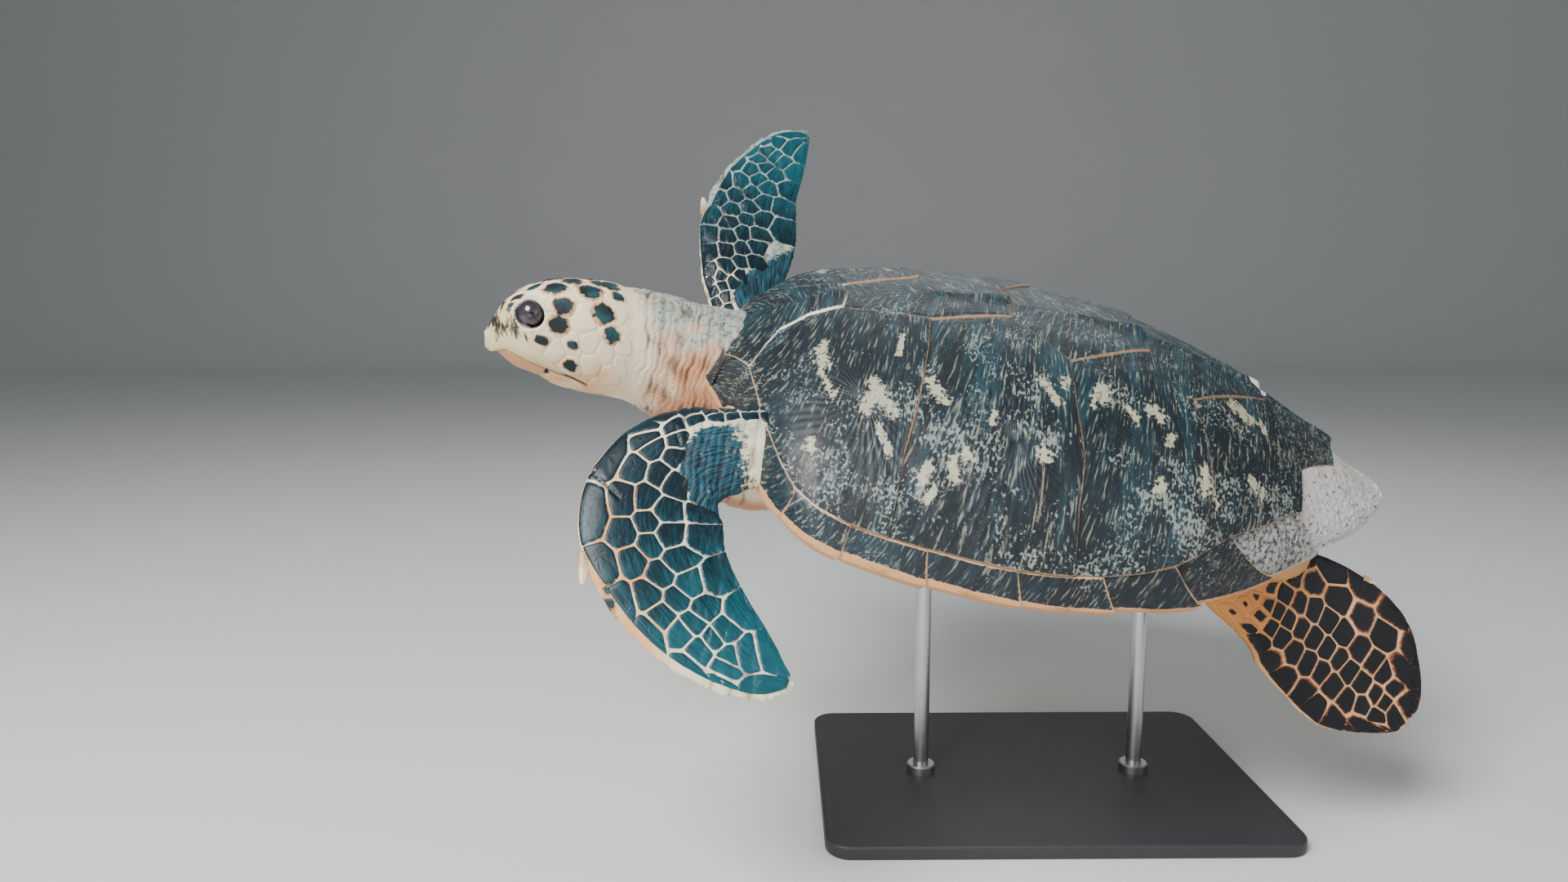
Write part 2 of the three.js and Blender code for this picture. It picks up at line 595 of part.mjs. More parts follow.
function stand(bodyMatrix) {
  const group = new THREE.Group();
  const blocked = core(PLASTRON_PLATE + 2 * GAP).add(carapace(GAP, GAP)).transform(bodyMatrix.toArray());
  const shape = new THREE.Shape();
  const x = BASE_LENGTH / 2 - BASE_CORNER;
  const y = BASE_WIDTH / 2 - BASE_CORNER;
  shape.absarc(x, -y, BASE_CORNER, -Math.PI / 2, 0);
  shape.absarc(x, y, BASE_CORNER, 0, Math.PI / 2);
  shape.absarc(-x, y, BASE_CORNER, Math.PI / 2, Math.PI);
  shape.absarc(-x, -y, BASE_CORNER, Math.PI, Math.PI * 1.5);
  const settings = { depth: BASE_HEIGHT, bevelEnabled: false, curveSegments: 6 };
  const base = new THREE.ExtrudeGeometry(shape, settings);
  group.add(named('stand_base', base, 'base'));
  Object.entries(ROD_STATIONS).forEach(([end, station]) => {
    group.add(named(`stand_rod_${end}`, rodGeometry(station, blocked), 'rod'));
  });
  return group;
}

const body = turtle();
const roll = new THREE.Group();
roll.rotation.x = BANK;
roll.add(body);
const attitude = new THREE.Group();
attitude.rotation.y = TAIL_DOWN;
attitude.position.z = BODY_HEIGHT;
attitude.add(roll);

const model = new THREE.Group();
model.add(attitude);
attitude.updateMatrixWorld(true);
model.add(stand(roll.matrixWorld));

// The origin is set on the floor, under the middle of the whole model.
model.updateMatrixWorld(true);
const middle = new THREE.Box3().setFromObject(model, true).getCenter(new THREE.Vector3());
model.children.forEach((child) => {
  child.position.x -= middle.x;
  child.position.y -= middle.y;
});

export default model;
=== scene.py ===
"""Life-size hawksbill sea turtle, gliding, on a plain display stand.

Sizes are millimetres in the turtle's own body frame (x to the tail, y to its right side, z out of
its back, origin halfway along the shell). BodyFrame banks it and turns it to the scene's metres.
"""
import logging
import math
from dataclasses import dataclass, field, replace
from enum import Enum
from functools import partial
from typing import Callable, Sequence

import bmesh
import bpy
import numpy as np
from mathutils import Matrix, Vector
from mathutils.bvhtree import BVHTree


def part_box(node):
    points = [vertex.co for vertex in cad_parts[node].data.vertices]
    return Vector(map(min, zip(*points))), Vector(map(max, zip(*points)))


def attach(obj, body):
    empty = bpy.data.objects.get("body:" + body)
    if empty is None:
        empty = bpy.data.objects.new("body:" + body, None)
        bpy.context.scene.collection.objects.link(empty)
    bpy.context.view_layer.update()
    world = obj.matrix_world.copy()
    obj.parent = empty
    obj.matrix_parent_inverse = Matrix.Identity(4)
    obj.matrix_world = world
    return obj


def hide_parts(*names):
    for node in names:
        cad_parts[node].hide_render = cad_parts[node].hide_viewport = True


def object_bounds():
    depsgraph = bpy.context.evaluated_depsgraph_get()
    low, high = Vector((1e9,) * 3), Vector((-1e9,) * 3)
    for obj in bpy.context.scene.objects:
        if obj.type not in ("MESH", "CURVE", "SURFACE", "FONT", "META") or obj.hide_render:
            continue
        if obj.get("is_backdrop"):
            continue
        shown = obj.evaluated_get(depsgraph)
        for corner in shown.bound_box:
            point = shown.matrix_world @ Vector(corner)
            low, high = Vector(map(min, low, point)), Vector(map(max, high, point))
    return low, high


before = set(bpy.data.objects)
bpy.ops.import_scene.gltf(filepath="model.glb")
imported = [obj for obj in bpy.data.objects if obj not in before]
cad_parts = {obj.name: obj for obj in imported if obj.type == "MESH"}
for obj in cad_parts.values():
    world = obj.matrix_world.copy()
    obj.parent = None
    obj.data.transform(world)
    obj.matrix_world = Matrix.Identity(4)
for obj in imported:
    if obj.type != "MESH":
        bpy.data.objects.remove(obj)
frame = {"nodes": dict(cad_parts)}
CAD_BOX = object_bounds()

logging.basicConfig(level=logging.INFO, format="%(message)s")
LOG = logging.getLogger("turtle")

Array = np.ndarray
MM = 0.001


# ---------------------------------------------------------------- small tools

def linear(code: str) -> tuple[float, float, float, float]:
    """Turns an sRGB hex colour into linear light.

    Args:
        code: Colour such as "#1f303a".

    Returns:
        Red, green, blue and alpha for a shader socket.
    """
    channels = [int(code[i:i + 2], 16) / 255 for i in (1, 3, 5)]
    light = [c / 12.92 if c <= 0.04045 else ((c + 0.055) / 1.055) ** 2.4 for c in channels]
    return (light[0], light[1], light[2], 1.0)


def ease(value: Array, low: float, high: float) -> Array:
    """Smooth step of an array from 0 at low to 1 at high."""
    u = np.clip((np.asarray(value, dtype=float) - low) / (high - low), 0.0, 1.0)
    return u * u * (3 - 2 * u)


def unit(vectors: Array) -> Array:
    """Rows scaled to length one."""
    return vectors / np.maximum(np.linalg.norm(vectors, axis=-1, keepdims=True), 1e-9)


class Profile:
    """Smooth curve through (place, value) pairs that never overshoots between them."""

    def __init__(self, *pairs: tuple[float, float]) -> None:
        """Keeps the pairs and works out a slope at each."""
        self.x, self.y = np.array(pairs, dtype=float).T
        slope = np.diff(self.y) / np.diff(self.x)
        inner = slope[:-1] * slope[1:]
        total = slope[:-1] + slope[1:]
        middle = np.where(inner > 0, 2 * inner / np.where(total == 0, 1, total), 0.0)
        self.tangent = np.concatenate([slope[:1], middle, slope[-1:]])

    def __call__(self, place: Array) -> Array:
        """Value at each place, held at the ends."""
        at = np.clip(place, self.x[0], self.x[-1])
        i = np.clip(np.searchsorted(self.x, at, side="right") - 1, 0, len(self.x) - 2)
        span = self.x[i + 1] - self.x[i]
        u = (at - self.x[i]) / span
        near = (1 + 2 * u) * (1 - u) ** 2 * self.y[i] + u * (1 - u) ** 2 * span * self.tangent[i]
        far = u * u * (3 - 2 * u) * self.y[i + 1] + u * u * (u - 1) * span * self.tangent[i + 1]
        return near + far


class Path:
    """Centripetal curve through points, read by its share of length."""

    STEPS = 40

    def __init__(self, points: Sequence[Sequence[float]]) -> None:
        """Samples the curve finely and measures it."""
        p = np.array(points, dtype=float)
        p = np.vstack([2 * p[0] - p[1], p, 2 * p[-1] - p[-2]])
        rows = []
        for a, b, c, d in zip(p, p[1:], p[2:], p[3:]):
            knots = np.cumsum([0] + [math.sqrt(np.linalg.norm(v)) for v in (b - a, c - b, d - c)])
            for t in np.linspace(knots[1], knots[2], self.STEPS, endpoint=False):
                rows.append(self._blend(a, b, c, d, knots, t))
        self.points = np.array(rows + [p[-2]])
        steps = np.linalg.norm(np.diff(self.points, axis=0), axis=1)
        self.run = np.concatenate([[0.0], np.cumsum(steps)])
        self.length = float(self.run[-1])

    @staticmethod
    def _blend(a: Array, b: Array, c: Array, d: Array, k: Array, t: float) -> Array:
        """Point at knot value t of the stretch from b to c."""
        ab = a * (k[1] - t) / (k[1] - k[0]) + b * (t - k[0]) / (k[1] - k[0])
        bc = b * (k[2] - t) / (k[2] - k[1]) + c * (t - k[1]) / (k[2] - k[1])
        cd = c * (k[3] - t) / (k[3] - k[2]) + d * (t - k[2]) / (k[3] - k[2])
        left = ab * (k[2] - t) / (k[2] - k[0]) + bc * (t - k[0]) / (k[2] - k[0])
        right = bc * (k[3] - t) / (k[3] - k[1]) + cd * (t - k[1]) / (k[3] - k[1])
        return left * (k[2] - t) / (k[2] - k[1]) + right * (t - k[1]) / (k[2] - k[1])

    def at(self, share: Array) -> Array:
        """Points at shares of the length."""
        place = np.clip(share, 0, 1) * self.length
        return np.stack([np.interp(place, self.run, col) for col in self.points.T], -1)

    def ahead(self, share: Array) -> Array:
        """Unit directions at shares of the length."""
        step = 0.01
        return unit(self.at(np.clip(share + step, 0, 1)) - self.at(np.clip(share - step, 0, 1)))


def capsule_gap(points: Array, start: Sequence[float], end: Sequence[float]) -> Array:
    """Distance of flat points from a short line."""
    first = np.array(start, dtype=float)
    way = np.array(end, dtype=float) - first
    share = np.clip((points - first) @ way / max(float(way @ way), 1e-9), 0, 1)
    return np.linalg.norm(points - first - share[:, None] * way, axis=1)


class Ripple:
    """Smooth seeded noise from a sum of waves, between about -1 and 1."""

    def __init__(self, seed: int, size: float, waves: int = 14) -> None:
        """Draws wave directions for bumps of about the given size in millimetres."""
        draw = np.random.default_rng(seed)
        self.wave = unit(draw.normal(size=(waves, 3))) * (2 * math.pi / size)
        self.wave *= draw.uniform(0.6, 1.6, size=(waves, 1))
        self.phase = draw.uniform(0, 2 * math.pi, waves)

    def __call__(self, points: Array) -> Array:
        """Noise at each point."""
        total = np.zeros(len(points))
        for wave, phase in zip(self.wave, self.phase):
            total += np.sin(points @ wave + phase)
        return total / math.sqrt(len(self.phase))


@dataclass(frozen=True)
class BodyFrame:
    """Where the banked turtle stands in the scene."""

    bank: float = math.radians(19.4)
    tail_down: float = math.radians(6.3)

    @property
    def turn(self) -> Array:
        """Rotation from body to scene axes."""
        return np.array(Matrix.Rotation(self.tail_down, 3, "Y") @ Matrix.Rotation(self.bank, 3, "X"))

    @property
    def origin(self) -> Array:
        """Body origin in the scene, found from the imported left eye."""
        low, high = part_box("eye_left")
        eye = (np.array(low) + np.array(high)) / 2
        return eye - self.turn @ (HEAD.eye_centre(1) * MM)

    def place(self, points: Array) -> Array:
        """Body millimetres to scene metres."""
        return self.origin + (np.atleast_2d(points) * MM) @ self.turn.T

    def back(self, points: Array) -> Array:
        """Scene metres to body millimetres."""
        return (np.atleast_2d(points) - self.origin) @ self.turn / MM


# ---------------------------------------------------------------- meshes

@dataclass
class Sheet:
    """Points, faces and per-point values of one growing mesh."""

    points: list[Array] = field(default_factory=list)
    faces: list[Array] = field(default_factory=list)
    values: dict[str, list[Array]] = field(default_factory=dict)
    bake: list[Array] = field(default_factory=list)
    count: int = 0

    def mark(self, markings: Callable[[Array], dict[str, Array]]) -> None:
        """Adds values worked out from the places of all its points."""
        for key, value in markings(np.vstack(self.points)).items():
            self.values[key] = [value]

    def add(self, points: Array, faces: Array, **values: Array) -> None:
        """Adds a patch of points in body millimetres with its quads and point values."""
        self.points.append(points)
        self.faces.append(faces + self.count)
        for key, value in values.items():
            rows = np.broadcast_to(value, (len(points),) + np.shape(value)[1:])
            self.values.setdefault(key, []).append(rows)
        self.count += len(points)

    def slab(self, patch: "Patch", kept: Sequence[int], top: Array, under: Array, out: Array,
             values: dict[str, Array]) -> None:
        """Adds a closed plate.

        Args:
            patch: Rings of the upper face.
            kept: Which of them the lower face has.
            top: Points of the upper face, the middle one last.
            under: Points of the lower face, the middle one last.
            out: Direction that the upper face looks in.
            values: Per-point values of the upper face.
        """
        probe = np.cross(top[1] - top[0], top[patch.around] - top[0])
        flip = bool(np.dot(probe, out) < 0)
        start, last = self.count, len(top) - 1
        self.add(top, patch.faces(flip, last), **values)
        below = patch.rows(kept)
        faces = replace(patch, rings=len(kept)).faces(not flip, len(under) - 1)
        self.add(under, faces, **{key: row[below] for key, row in values.items()})
        self.faces.append(wall(np.arange(patch.around) + start, last + 1, flip))

    def build(self, name: str, place: Callable[[Array], Array]) -> bpy.types.Object:
        """Makes the Blender object.

        Args:
            name: Name of the new piece.
            place: Turns body millimetres into scene metres.

        Returns:
            The linked object, shaded smooth.
        """
        points = place(np.vstack(self.points))
        faces = np.vstack(self.faces)
        values = {key: np.concatenate(rows) for key, rows in self.values.items()}
        piece = add_mesh(name, points, faces, values)
        if self.bake:
            corners = np.empty(len(piece.data.loops), dtype=np.int64)
            piece.data.loops.foreach_get("vertex_index", corners)
            layer = piece.data.uv_layers.new(name="OFBake")
            layer.data.foreach_set("uv", np.vstack(self.bake)[corners].astype(np.float32).ravel())
        return piece


def add_mesh(name: str, points: Array, faces: Array, values: dict[str, Array]) -> bpy.types.Object:
    """Makes a smooth mesh object from arrays.

    Args:
        name: Name of the object.
        points: N by 3 places in metres.
        faces: Quads, or triangles as quads whose last index repeats the third.
        values: Per-point numbers, or rows of three for a vector.

    Returns:
        The linked object.
    """
    loops = [[i for k, i in enumerate(face) if k == 0 or i != face[k - 1]] for face in faces.tolist()]
    mesh = bpy.data.meshes.new(name)
    mesh.from_pydata(points.tolist(), [], loops)
    mesh.validate()
    add_values(mesh, values)
    mesh.polygons.foreach_set("use_smooth", [True] * len(mesh.polygons))
    return link(name, mesh)


def link(name: str, data: bpy.types.ID) -> bpy.types.Object:
    """New object for some data, linked to the scene."""
    piece = bpy.data.objects.new(name, data)
    bpy.context.scene.collection.objects.link(piece)
    return piece


def add_values(mesh: bpy.types.Mesh, values: dict[str, Array]) -> None:
    """Writes per-point numbers, or rows of three, as attributes."""
    for key, value in values.items():
        kind = "FLOAT_VECTOR" if value.ndim == 2 else "FLOAT"
        layer = mesh.attributes.new(key, kind, "POINT")
        layer.data.foreach_set("vector" if value.ndim == 2 else "value", value.astype(np.float32).ravel())


def grid_faces(rows: int, columns: int, closed: bool) -> Array:
    """Quads of a grid of points laid out row by row."""
    r, c = np.meshgrid(np.arange(rows - 1), np.arange(columns if closed else columns - 1), indexing="ij")
    n = (c + 1) % columns
    quads = np.stack([r * columns + c, r * columns + n, (r + 1) * columns + n, (r + 1) * columns + c], -1)
    return quads.reshape(-1, 4)


def fan(ring: Array, centre: int, flip: bool) -> Array:
    """Triangles from a ring of indices to a centre point."""
    following = np.roll(ring, -1)
    first, second = (following, ring) if flip else (ring, following)
    return np.stack([first, second, np.full_like(ring, centre), np.full_like(ring, centre)], -1)


def wall(ring: Array, drop: int, flip: bool) -> Array:
    """Quads from a closed ring of indices to the same ring further on in the points."""
    after = np.roll(ring, -1)
    quads = np.stack([ring, ring + drop, after + drop, after], -1)
    return quads[:, ::-1] if flip else quads


def circles(rows: int, around: int, last: float = 1.0) -> tuple[Array, Array]:
    """Share from 0 to last and angle at each point of a stack of rings."""
    turns = np.arange(around) * 2 * math.pi / around
    share, angle = np.meshgrid(np.linspace(0, last, rows), turns, indexing="ij")
    return share.ravel(), angle.ravel()


def loft(sheet: Sheet, rows: int, around: int, place: Callable[[Array, Array], Array]) -> None:
    """Adds a closed capped tube of rings, place(share, angle) giving its points."""
    points = place(*circles(rows, around))
    ends = [points[:around].mean(0), points[-around:].mean(0)]
    faces = [grid_faces(rows, around, True), fan(np.arange(around), rows * around, True),
             fan(np.arange(around) + (rows - 1) * around, rows * around + 1, False)]
    sheet.add(np.vstack([points, ends]), np.vstack(faces))


def resample(outline: Array, count: int) -> Array:
    """Closed outline as a number of evenly spaced points."""
    ring = np.vstack([outline, outline[:1]])
    run = np.concatenate([[0], np.cumsum(np.linalg.norm(np.diff(ring, axis=0), axis=1))])
    at = np.linspace(0, run[-1], count, endpoint=False)
    return np.stack([np.interp(at, run, column) for column in ring.T], -1)


def rounded(outline: Array, cuts: Sequence[float] = (0.16, 0.25, 0.25)) -> Array:
    """Closed outline with its corners cut off by each share of their edges in turn."""
    for cut in cuts:
        after = np.roll(outline, -1, axis=0)
        pair = np.stack([outline * (1 - cut) + after * cut, outline * cut + after * (1 - cut)], 1)
        outline = pair.reshape(-1, 2)
    return outline


def signed_area(outline: Array) -> float:
    """Area of a closed outline, positive when it runs counter-clockwise."""
    x, y = outline.T
    return float(np.sum(x * np.roll(y, -1) - y * np.roll(x, -1)) / 2)


Surface = Callable[[Array], Array]


def surface_normals(surface: Surface, chart: Array, outward: Array) -> Array:
    """Unit normals of a surface over chart points, turned to agree with a rough direction."""
    step = 0.4
    across = surface(chart + [step, 0]) - surface(chart - [step, 0])
    along = surface(chart + [0, step]) - surface(chart - [0, step])
    normal = unit(np.cross(across, along))
    return normal * np.where(np.sum(normal * outward, -1, keepdims=True) < 0, -1, 1)


@dataclass
class Patch:
    """One plate or scale: rings of chart points from its rim to its middle."""

    chart: Array
    share: Array
    edge: Array
    angle: Array
    rings: int
    around: int

    @classmethod
    def over(cls, outline: Array, centre: Array, around: int, shares: Array) -> "Patch":
        """Lays rings over an outline.

        Args:
            outline: Corner points in chart millimetres.
            centre: Growth centre that the rings close on.
            around: Points in each ring.
            shares: Size of each ring, from 1 at the rim down to a small last one.

        Returns:
            The patch.
        """
        ring = resample(outline, around)
        if signed_area(ring) < 0:
            ring = ring[::-1]
        arm = ring - centre
        chart = (centre + shares[:, None, None] * arm).reshape(-1, 2)
        reach = np.linalg.norm(arm, axis=1)
        gap = ((1 - shares)[:, None] * reach).ravel()
        turn = np.tile(np.arctan2(arm[:, 1], arm[:, 0]), len(shares))
        return cls(chart, np.repeat(shares, around), gap, turn, len(shares), around)

    def rows(self, kept: Sequence[int]) -> Array:
        """Indices of the points of some rings and of the middle point."""
        ring = np.arange(self.around)
        return np.append(np.concatenate([ring + k * self.around for k in kept]), self.rings * self.around)

    def faces(self, flip: bool, last: int) -> Array:
        """Quads between the rings and a fan over the middle point."""
        quads = grid_faces(self.rings, self.around, True)
        ring = np.arange(self.around) + (self.rings - 1) * self.around
        if flip:
            quads = quads[:, ::-1]
        return np.vstack([quads, fan(ring, last, flip)])


# ---------------------------------------------------------------- shell

@dataclass(frozen=True)
class ShellForm:
    """The curved surface that the horny plates lie on, charted by length and unrolled width."""

    length: float = 700
    half: float = 280
    chart_half: float = 320
    lip_depth: float = 6
    share: Profile = Profile((0, 0.2), (0.03, 0.36), (0.06, 0.56), (0.09, 0.75), (0.12, 0.87), (0.16, 0.94),
                             (0.3, 0.985), (0.4, 1), (0.5, 0.98), (0.6, 0.925), (0.7, 0.78), (0.8, 0.58),
                             (0.9, 0.37), (0.96, 0.22), (1, 0.08))
    rim: Profile = Profile((0, 58), (0.058, 38), (0.112, 24), (0.194, 6), (0.29, -5), (0.45, -13), (1, -12))
    keel: Profile = Profile((0, 66), (0.02, 86), (0.06, 108), (0.19, 137), (0.35, 147), (0.55, 135),
                            (0.76, 91), (0.89, 42), (0.965, 6), (1, -6))
    margin: Profile = Profile((0.056, 0.62), (0.084, 0.825), (0.129, 0.94), (0.2, 0.962), (0.4, 0.972),
                              (0.5, 0.97), (0.58, 0.952), (0.66, 0.905), (0.785, 0.87), (0.9, 0.6))

    def station(self, x: Array) -> Array:
        """Share of the shell's length at a body x."""
        return np.clip(x / self.length + 0.5, 0, 1)

    def half_width(self, t: Array) -> Array:
        """Half width at a share of the length."""
        return self.half * self.share(t)

    def back(self, t: Array, v: Array) -> Array:
        """Height of the back, v being the share of the half width."""
        rise = np.clip(1 - np.abs(v) ** 2.2, 0, 1) ** 0.62
        return self.rim(t) + (self.keel(t) - self.rim(t)) * rise

    def chart(self, t: float, y: float = None, v: float = None) -> tuple[float, float]:
        """Chart point of a plan point, y as a share of the length or v of the half width."""
        share = v if v is not None else y * self.length / float(self.half_width(t))
        q = math.asin(max(-1, min(1, share))) * 2 / math.pi
        return ((t - 0.5) * self.length, q * self.chart_half)

    def surface(self, chart: Array) -> Array:
        """Body points of chart points; past the rim the chart folds under the lip."""
        t = self.station(chart[:, 0])
        q = chart[:, 1] / self.chart_half
        side = np.sign(q)
        over = np.clip(np.abs(q) - 1, 0, None)
        v = np.where(over > 0, 1 - 0.42 * over, np.sin(np.clip(np.abs(q), 0, 1) * math.pi / 2))
        z = np.where(over > 0, self.rim(t) - self.lip_depth * ease(over, 0, 0.05), self.back(t, v))
        return np.stack([chart[:, 0], side * v * self.half_width(t), z], -1)


SHELL = ShellForm()


class Finish(Enum):
    """Material slots of the record."""

    SCUTE = "carapace_scute"
    RIM = "rim_scute"
    WORN = "worn_scute"
    PLASTRON = "plastron"
    SKIN = "skin"
    FLIPPER = "flipper_skin"
    BEAK = "beak_horn"
    EYE = "eye"
    CLAW = "claw_horn"
    BASE = "stand_base"
    ROD = "stand_rod"


@dataclass(frozen=True)
class Plate:
    """One horny plate of the carapace: its outline in the chart and how it lies."""

    node: str
    outline: tuple
    finish: Finish
    wear: float = 0.0
    pale_front: bool = False
    rise: float = 2.6
    tooth: float = 0.0
    on_rim: bool = False


@dataclass
class Carapace:
    """Nuchal, vertebrals, costals, marginals and supracaudals, overlapping like tiles."""

    frame: BodyFrame
    under: float = 1.22
    overlap: float = 2.4
    thick: float = 4.0
    lip_thick: float = 2.2
    corner_points: int = 720
    point_gap: float = 2.7
    ring_gap: float = 2.8
    first_tooth: int = 8
    patches: int = 34
    patch_along: tuple = (-260, 180)
    patch_out: tuple = (60, 215)
    patch_length: tuple = (4, 26)
    patch_radius: tuple = (5, 14)

    SEAMS = ((0.016, 0), (0.023, 0), (0.084, 0.061), (0.129, 0.111), (0.195, 0.185), (0.285, 0.29),
             (0.39, 0.402), (0.492, 0.514), (0.581, 0.627), (0.66, 0.747), (0.785, 0.833), (0.88, 0.945))
    CENTRE = (0.016, 0.182, 0.408, 0.602, 0.782, 0.912)
    EXTRA = (0.071, 0.106, 0.16, 0.238, 0.34, 0.455, 0.54, 0.611, 0.72)
    WEAR = (0, 0, 0, 0, 0, 0, 0, 0.12, 0.25, 0.48, 1.0)
    RIM_RINGS = (0, 0.5, 1.1, 1.9, 3.0, 4.4, 6.2)

    def __post_init__(self) -> None:
        """Works out the corners that neighbouring plates share."""
        at = SHELL.chart
        self.front = [at(0.016, y=0.034), at(0.023, y=0.072), at(0.056, y=0.131)]
        self.first_rear = at(0.175, y=0.045)
        self.second = at(0.288, y=0.085)
        self.second_rear = at(0.4, y=0.055)
        self.third = at(0.463, y=0.142)
        self.third_rear = at(0.594, y=0.06)
        self.fourth = at(0.63, y=0.15)
        self.fourth_rear = at(0.775, y=0.045)
        self.fifth = at(0.795, y=0.16)
        self.fifth_rear = at(0.88, y=0.085)
        self.costal_seams = [
            [self.front[2], at(0.074, y=0.107), at(0.092, y=0.08), at(0.13, y=0.058), self.first_rear],
            [self.second, at(0.28, y=0.16), at(0.268, y=0.24), at(0.25, y=0.31), self.margin(0.238)],
            [self.third, at(0.462, y=0.22), at(0.466, y=0.29), at(0.457, y=0.34), self.margin(0.455)],
            [self.fourth, at(0.637, y=0.22), at(0.632, y=0.28), at(0.617, y=0.32), self.margin(0.611)],
        ]

    @staticmethod
    def margin(t: float) -> tuple[float, float]:
        """Chart point on the line between costals and marginals."""
        return SHELL.chart(t, v=float(SHELL.margin(t)))

    def stretch(self, low: float, high: float) -> list:
        """Points of that line strictly between two stations."""
        stations = sorted({seam[0] for seam in self.SEAMS} | set(self.EXTRA))
        return [self.margin(t) for t in stations if low < t < high]

    def inner(self, t: float) -> tuple[float, float]:
        """Where the seam at inner station t leaves the costals."""
        if t < 0.02:
            return self.front[0]
        if t < 0.05:
            return self.front[1]
        return self.fifth_rear if t > 0.87 else self.margin(t)

    def marginal(self, index: int) -> list:
        """Outline of one marginal, out over the rim and under the lip."""
        (inner_a, outer_a), (inner_b, outer_b) = self.SEAMS[index - 1], self.SEAMS[index]
        line = [self.inner(inner_a)]
        line += [self.front[2]] if index == 2 else []
        line += self.stretch(max(inner_a, 0.06), inner_b)
        line += [self.fifth] if index == 11 else []
        line += [self.inner(inner_b)]
        rim = SHELL.chart_half
        if index == 1:
            nose = -0.5 * SHELL.length
            return line + [(nose, rim), (nose, rim * 0.5)]
        x = [(t - 0.5) * SHELL.length for t in (outer_a, outer_b)]
        return line + [(x[1], rim), (x[1], rim * self.under), (x[0], rim * self.under), (x[0], rim)]

    def plates(self) -> list[Plate]:
        """Every plate of the carapace."""
        centre = [(SHELL.length * (t - 0.5), 0.0) for t in self.CENTRE]
        sides = [
            [*self.front, *self.costal_seams[0][1:]],
            [self.first_rear, self.second, self.second_rear],
            [self.second_rear, self.third, self.third_rear],
            [self.third_rear, self.fourth, self.fourth_rear],
            [self.fourth_rear, self.fifth, self.fifth_rear],
        ]
        nose = -0.5 * SHELL.length
        plates = [Plate("nuchal", ((nose, -120), (nose, 120), self.front[0],
                                   (self.front[0][0], -self.front[0][1])), Finish.SCUTE)]
        for i, side in enumerate(sides):
            half = [centre[i], *side, centre[i + 1]]
            other = [(x, -q) for x, q in reversed(side)]
            plates.append(Plate(f"vertebral_{i + 1}", tuple(half + other), Finish.SCUTE, pale_front=i == 0,
                                wear=0.3 if i == 4 else 0.0))
        for label, sign in (("left", -1), ("right", 1)):
            plates += self.one_side(label, sign)
        return plates

    def one_side(self, label: str, sign: int) -> list[Plate]:
        """Costals, marginals and the supracaudal of one side."""
        seams = self.costal_seams
        low, high = self.margin(0.071), self.margin(0.785)
        run = [[low] + self.stretch(0.071, 0.238), self.stretch(0.238, 0.455), self.stretch(0.455, 0.611),
               self.stretch(0.611, 0.785) + [high]]
        costals = [
            [self.front[2], *run[0], *seams[1][::-1], *seams[0][::-1][:-1]],
            [*seams[1], *run[1], *seams[2][::-1], self.second_rear],
            [*seams[2], *run[2], *seams[3][::-1], self.third_rear],
            [*seams[3], *run[3], self.fifth, self.fourth_rear],
        ]

        def turned(line: list) -> tuple:
            """Points of a right-hand line on this side."""
            return tuple((x, sign * q) for x, q in line)

        plates = [Plate(f"costal_{label}_{i + 1}", turned(line), Finish.SCUTE, pale_front=i == 0,
                        wear=0.12 if i == 3 else 0.0) for i, line in enumerate(costals)]
        for i, wear in enumerate(self.WEAR, 1):
            finish = Finish.RIM if i < 10 else Finish.WORN
            tooth = 4.0 + 1.6 * (i - self.first_tooth) if i >= self.first_tooth else 0.0
            plates.append(Plate(f"marginal_{label}_{i}", turned(self.marginal(i)), finish, wear,
                                rise=1.4, tooth=tooth, on_rim=True))
        rim = SHELL.chart_half
        end = 0.5 * SHELL.length
        tail = [(SHELL.length * 0.412, 0), self.fifth_rear, (SHELL.length * 0.445, rim),
                (SHELL.length * 0.445, rim * self.under), (end, rim * self.under), (end, 10)]
        plates.append(Plate(f"supracaudal_{label}", turned(tail), Finish.WORN, 0.9,
                            rise=1.5, tooth=9.0, on_rim=True))
        return plates

    def build(self, materials: dict) -> None:
        """Makes each plate and lets it replace its CAD node."""
        plates = self.plates()
        for number, plate in enumerate(plates):
            piece = self.plate_mesh(plate, number)
            dress(piece, materials[plate.finish], plate.finish, plate.node)
        LOG.info("carapace: %d plates", len(plates))

    def plate_mesh(self, plate: Plate, number: int) -> bpy.types.Object:
        """One plate with rounded edges, growth ridges and a lifted rear edge."""
        outline = resample(np.array(plate.outline, dtype=float), self.corner_points)
        low, high = outline[:, 0].min(), outline[:, 0].max()
        mean = outline.mean(0)
        around = outline - np.roll(outline, 1, axis=0)
        normal = unit(np.stack([around[:, 1], -around[:, 0]], -1) * np.sign(signed_area(outline)))
        rearward = np.clip(normal[:, 0], 0, 1)
        inner_side = np.abs(outline[:, 1]) < SHELL.chart_half * 0.999
        outline = outline + normal * (self.overlap * rearward * inner_side)[:, None]
        perimeter = np.linalg.norm(around, axis=1).sum()
        centre = mean + np.array([0.12 * (high - low), 0.0])
        if plate.on_rim:
            centre = np.array([mean[0], np.sign(mean[1]) * SHELL.chart_half * 0.985])
        reach = float(np.linalg.norm(outline - centre, axis=1).mean())
        inside = np.arange(8.6, reach * 0.97, self.ring_gap)
        shares = 1 - np.concatenate([self.RIM_RINGS, inside]) / reach
        patch = Patch.over(outline, centre, int(perimeter / self.point_gap), shares[shares > 0.03])
        return self.raise_patch(plate, patch, centre, (low, high), number)

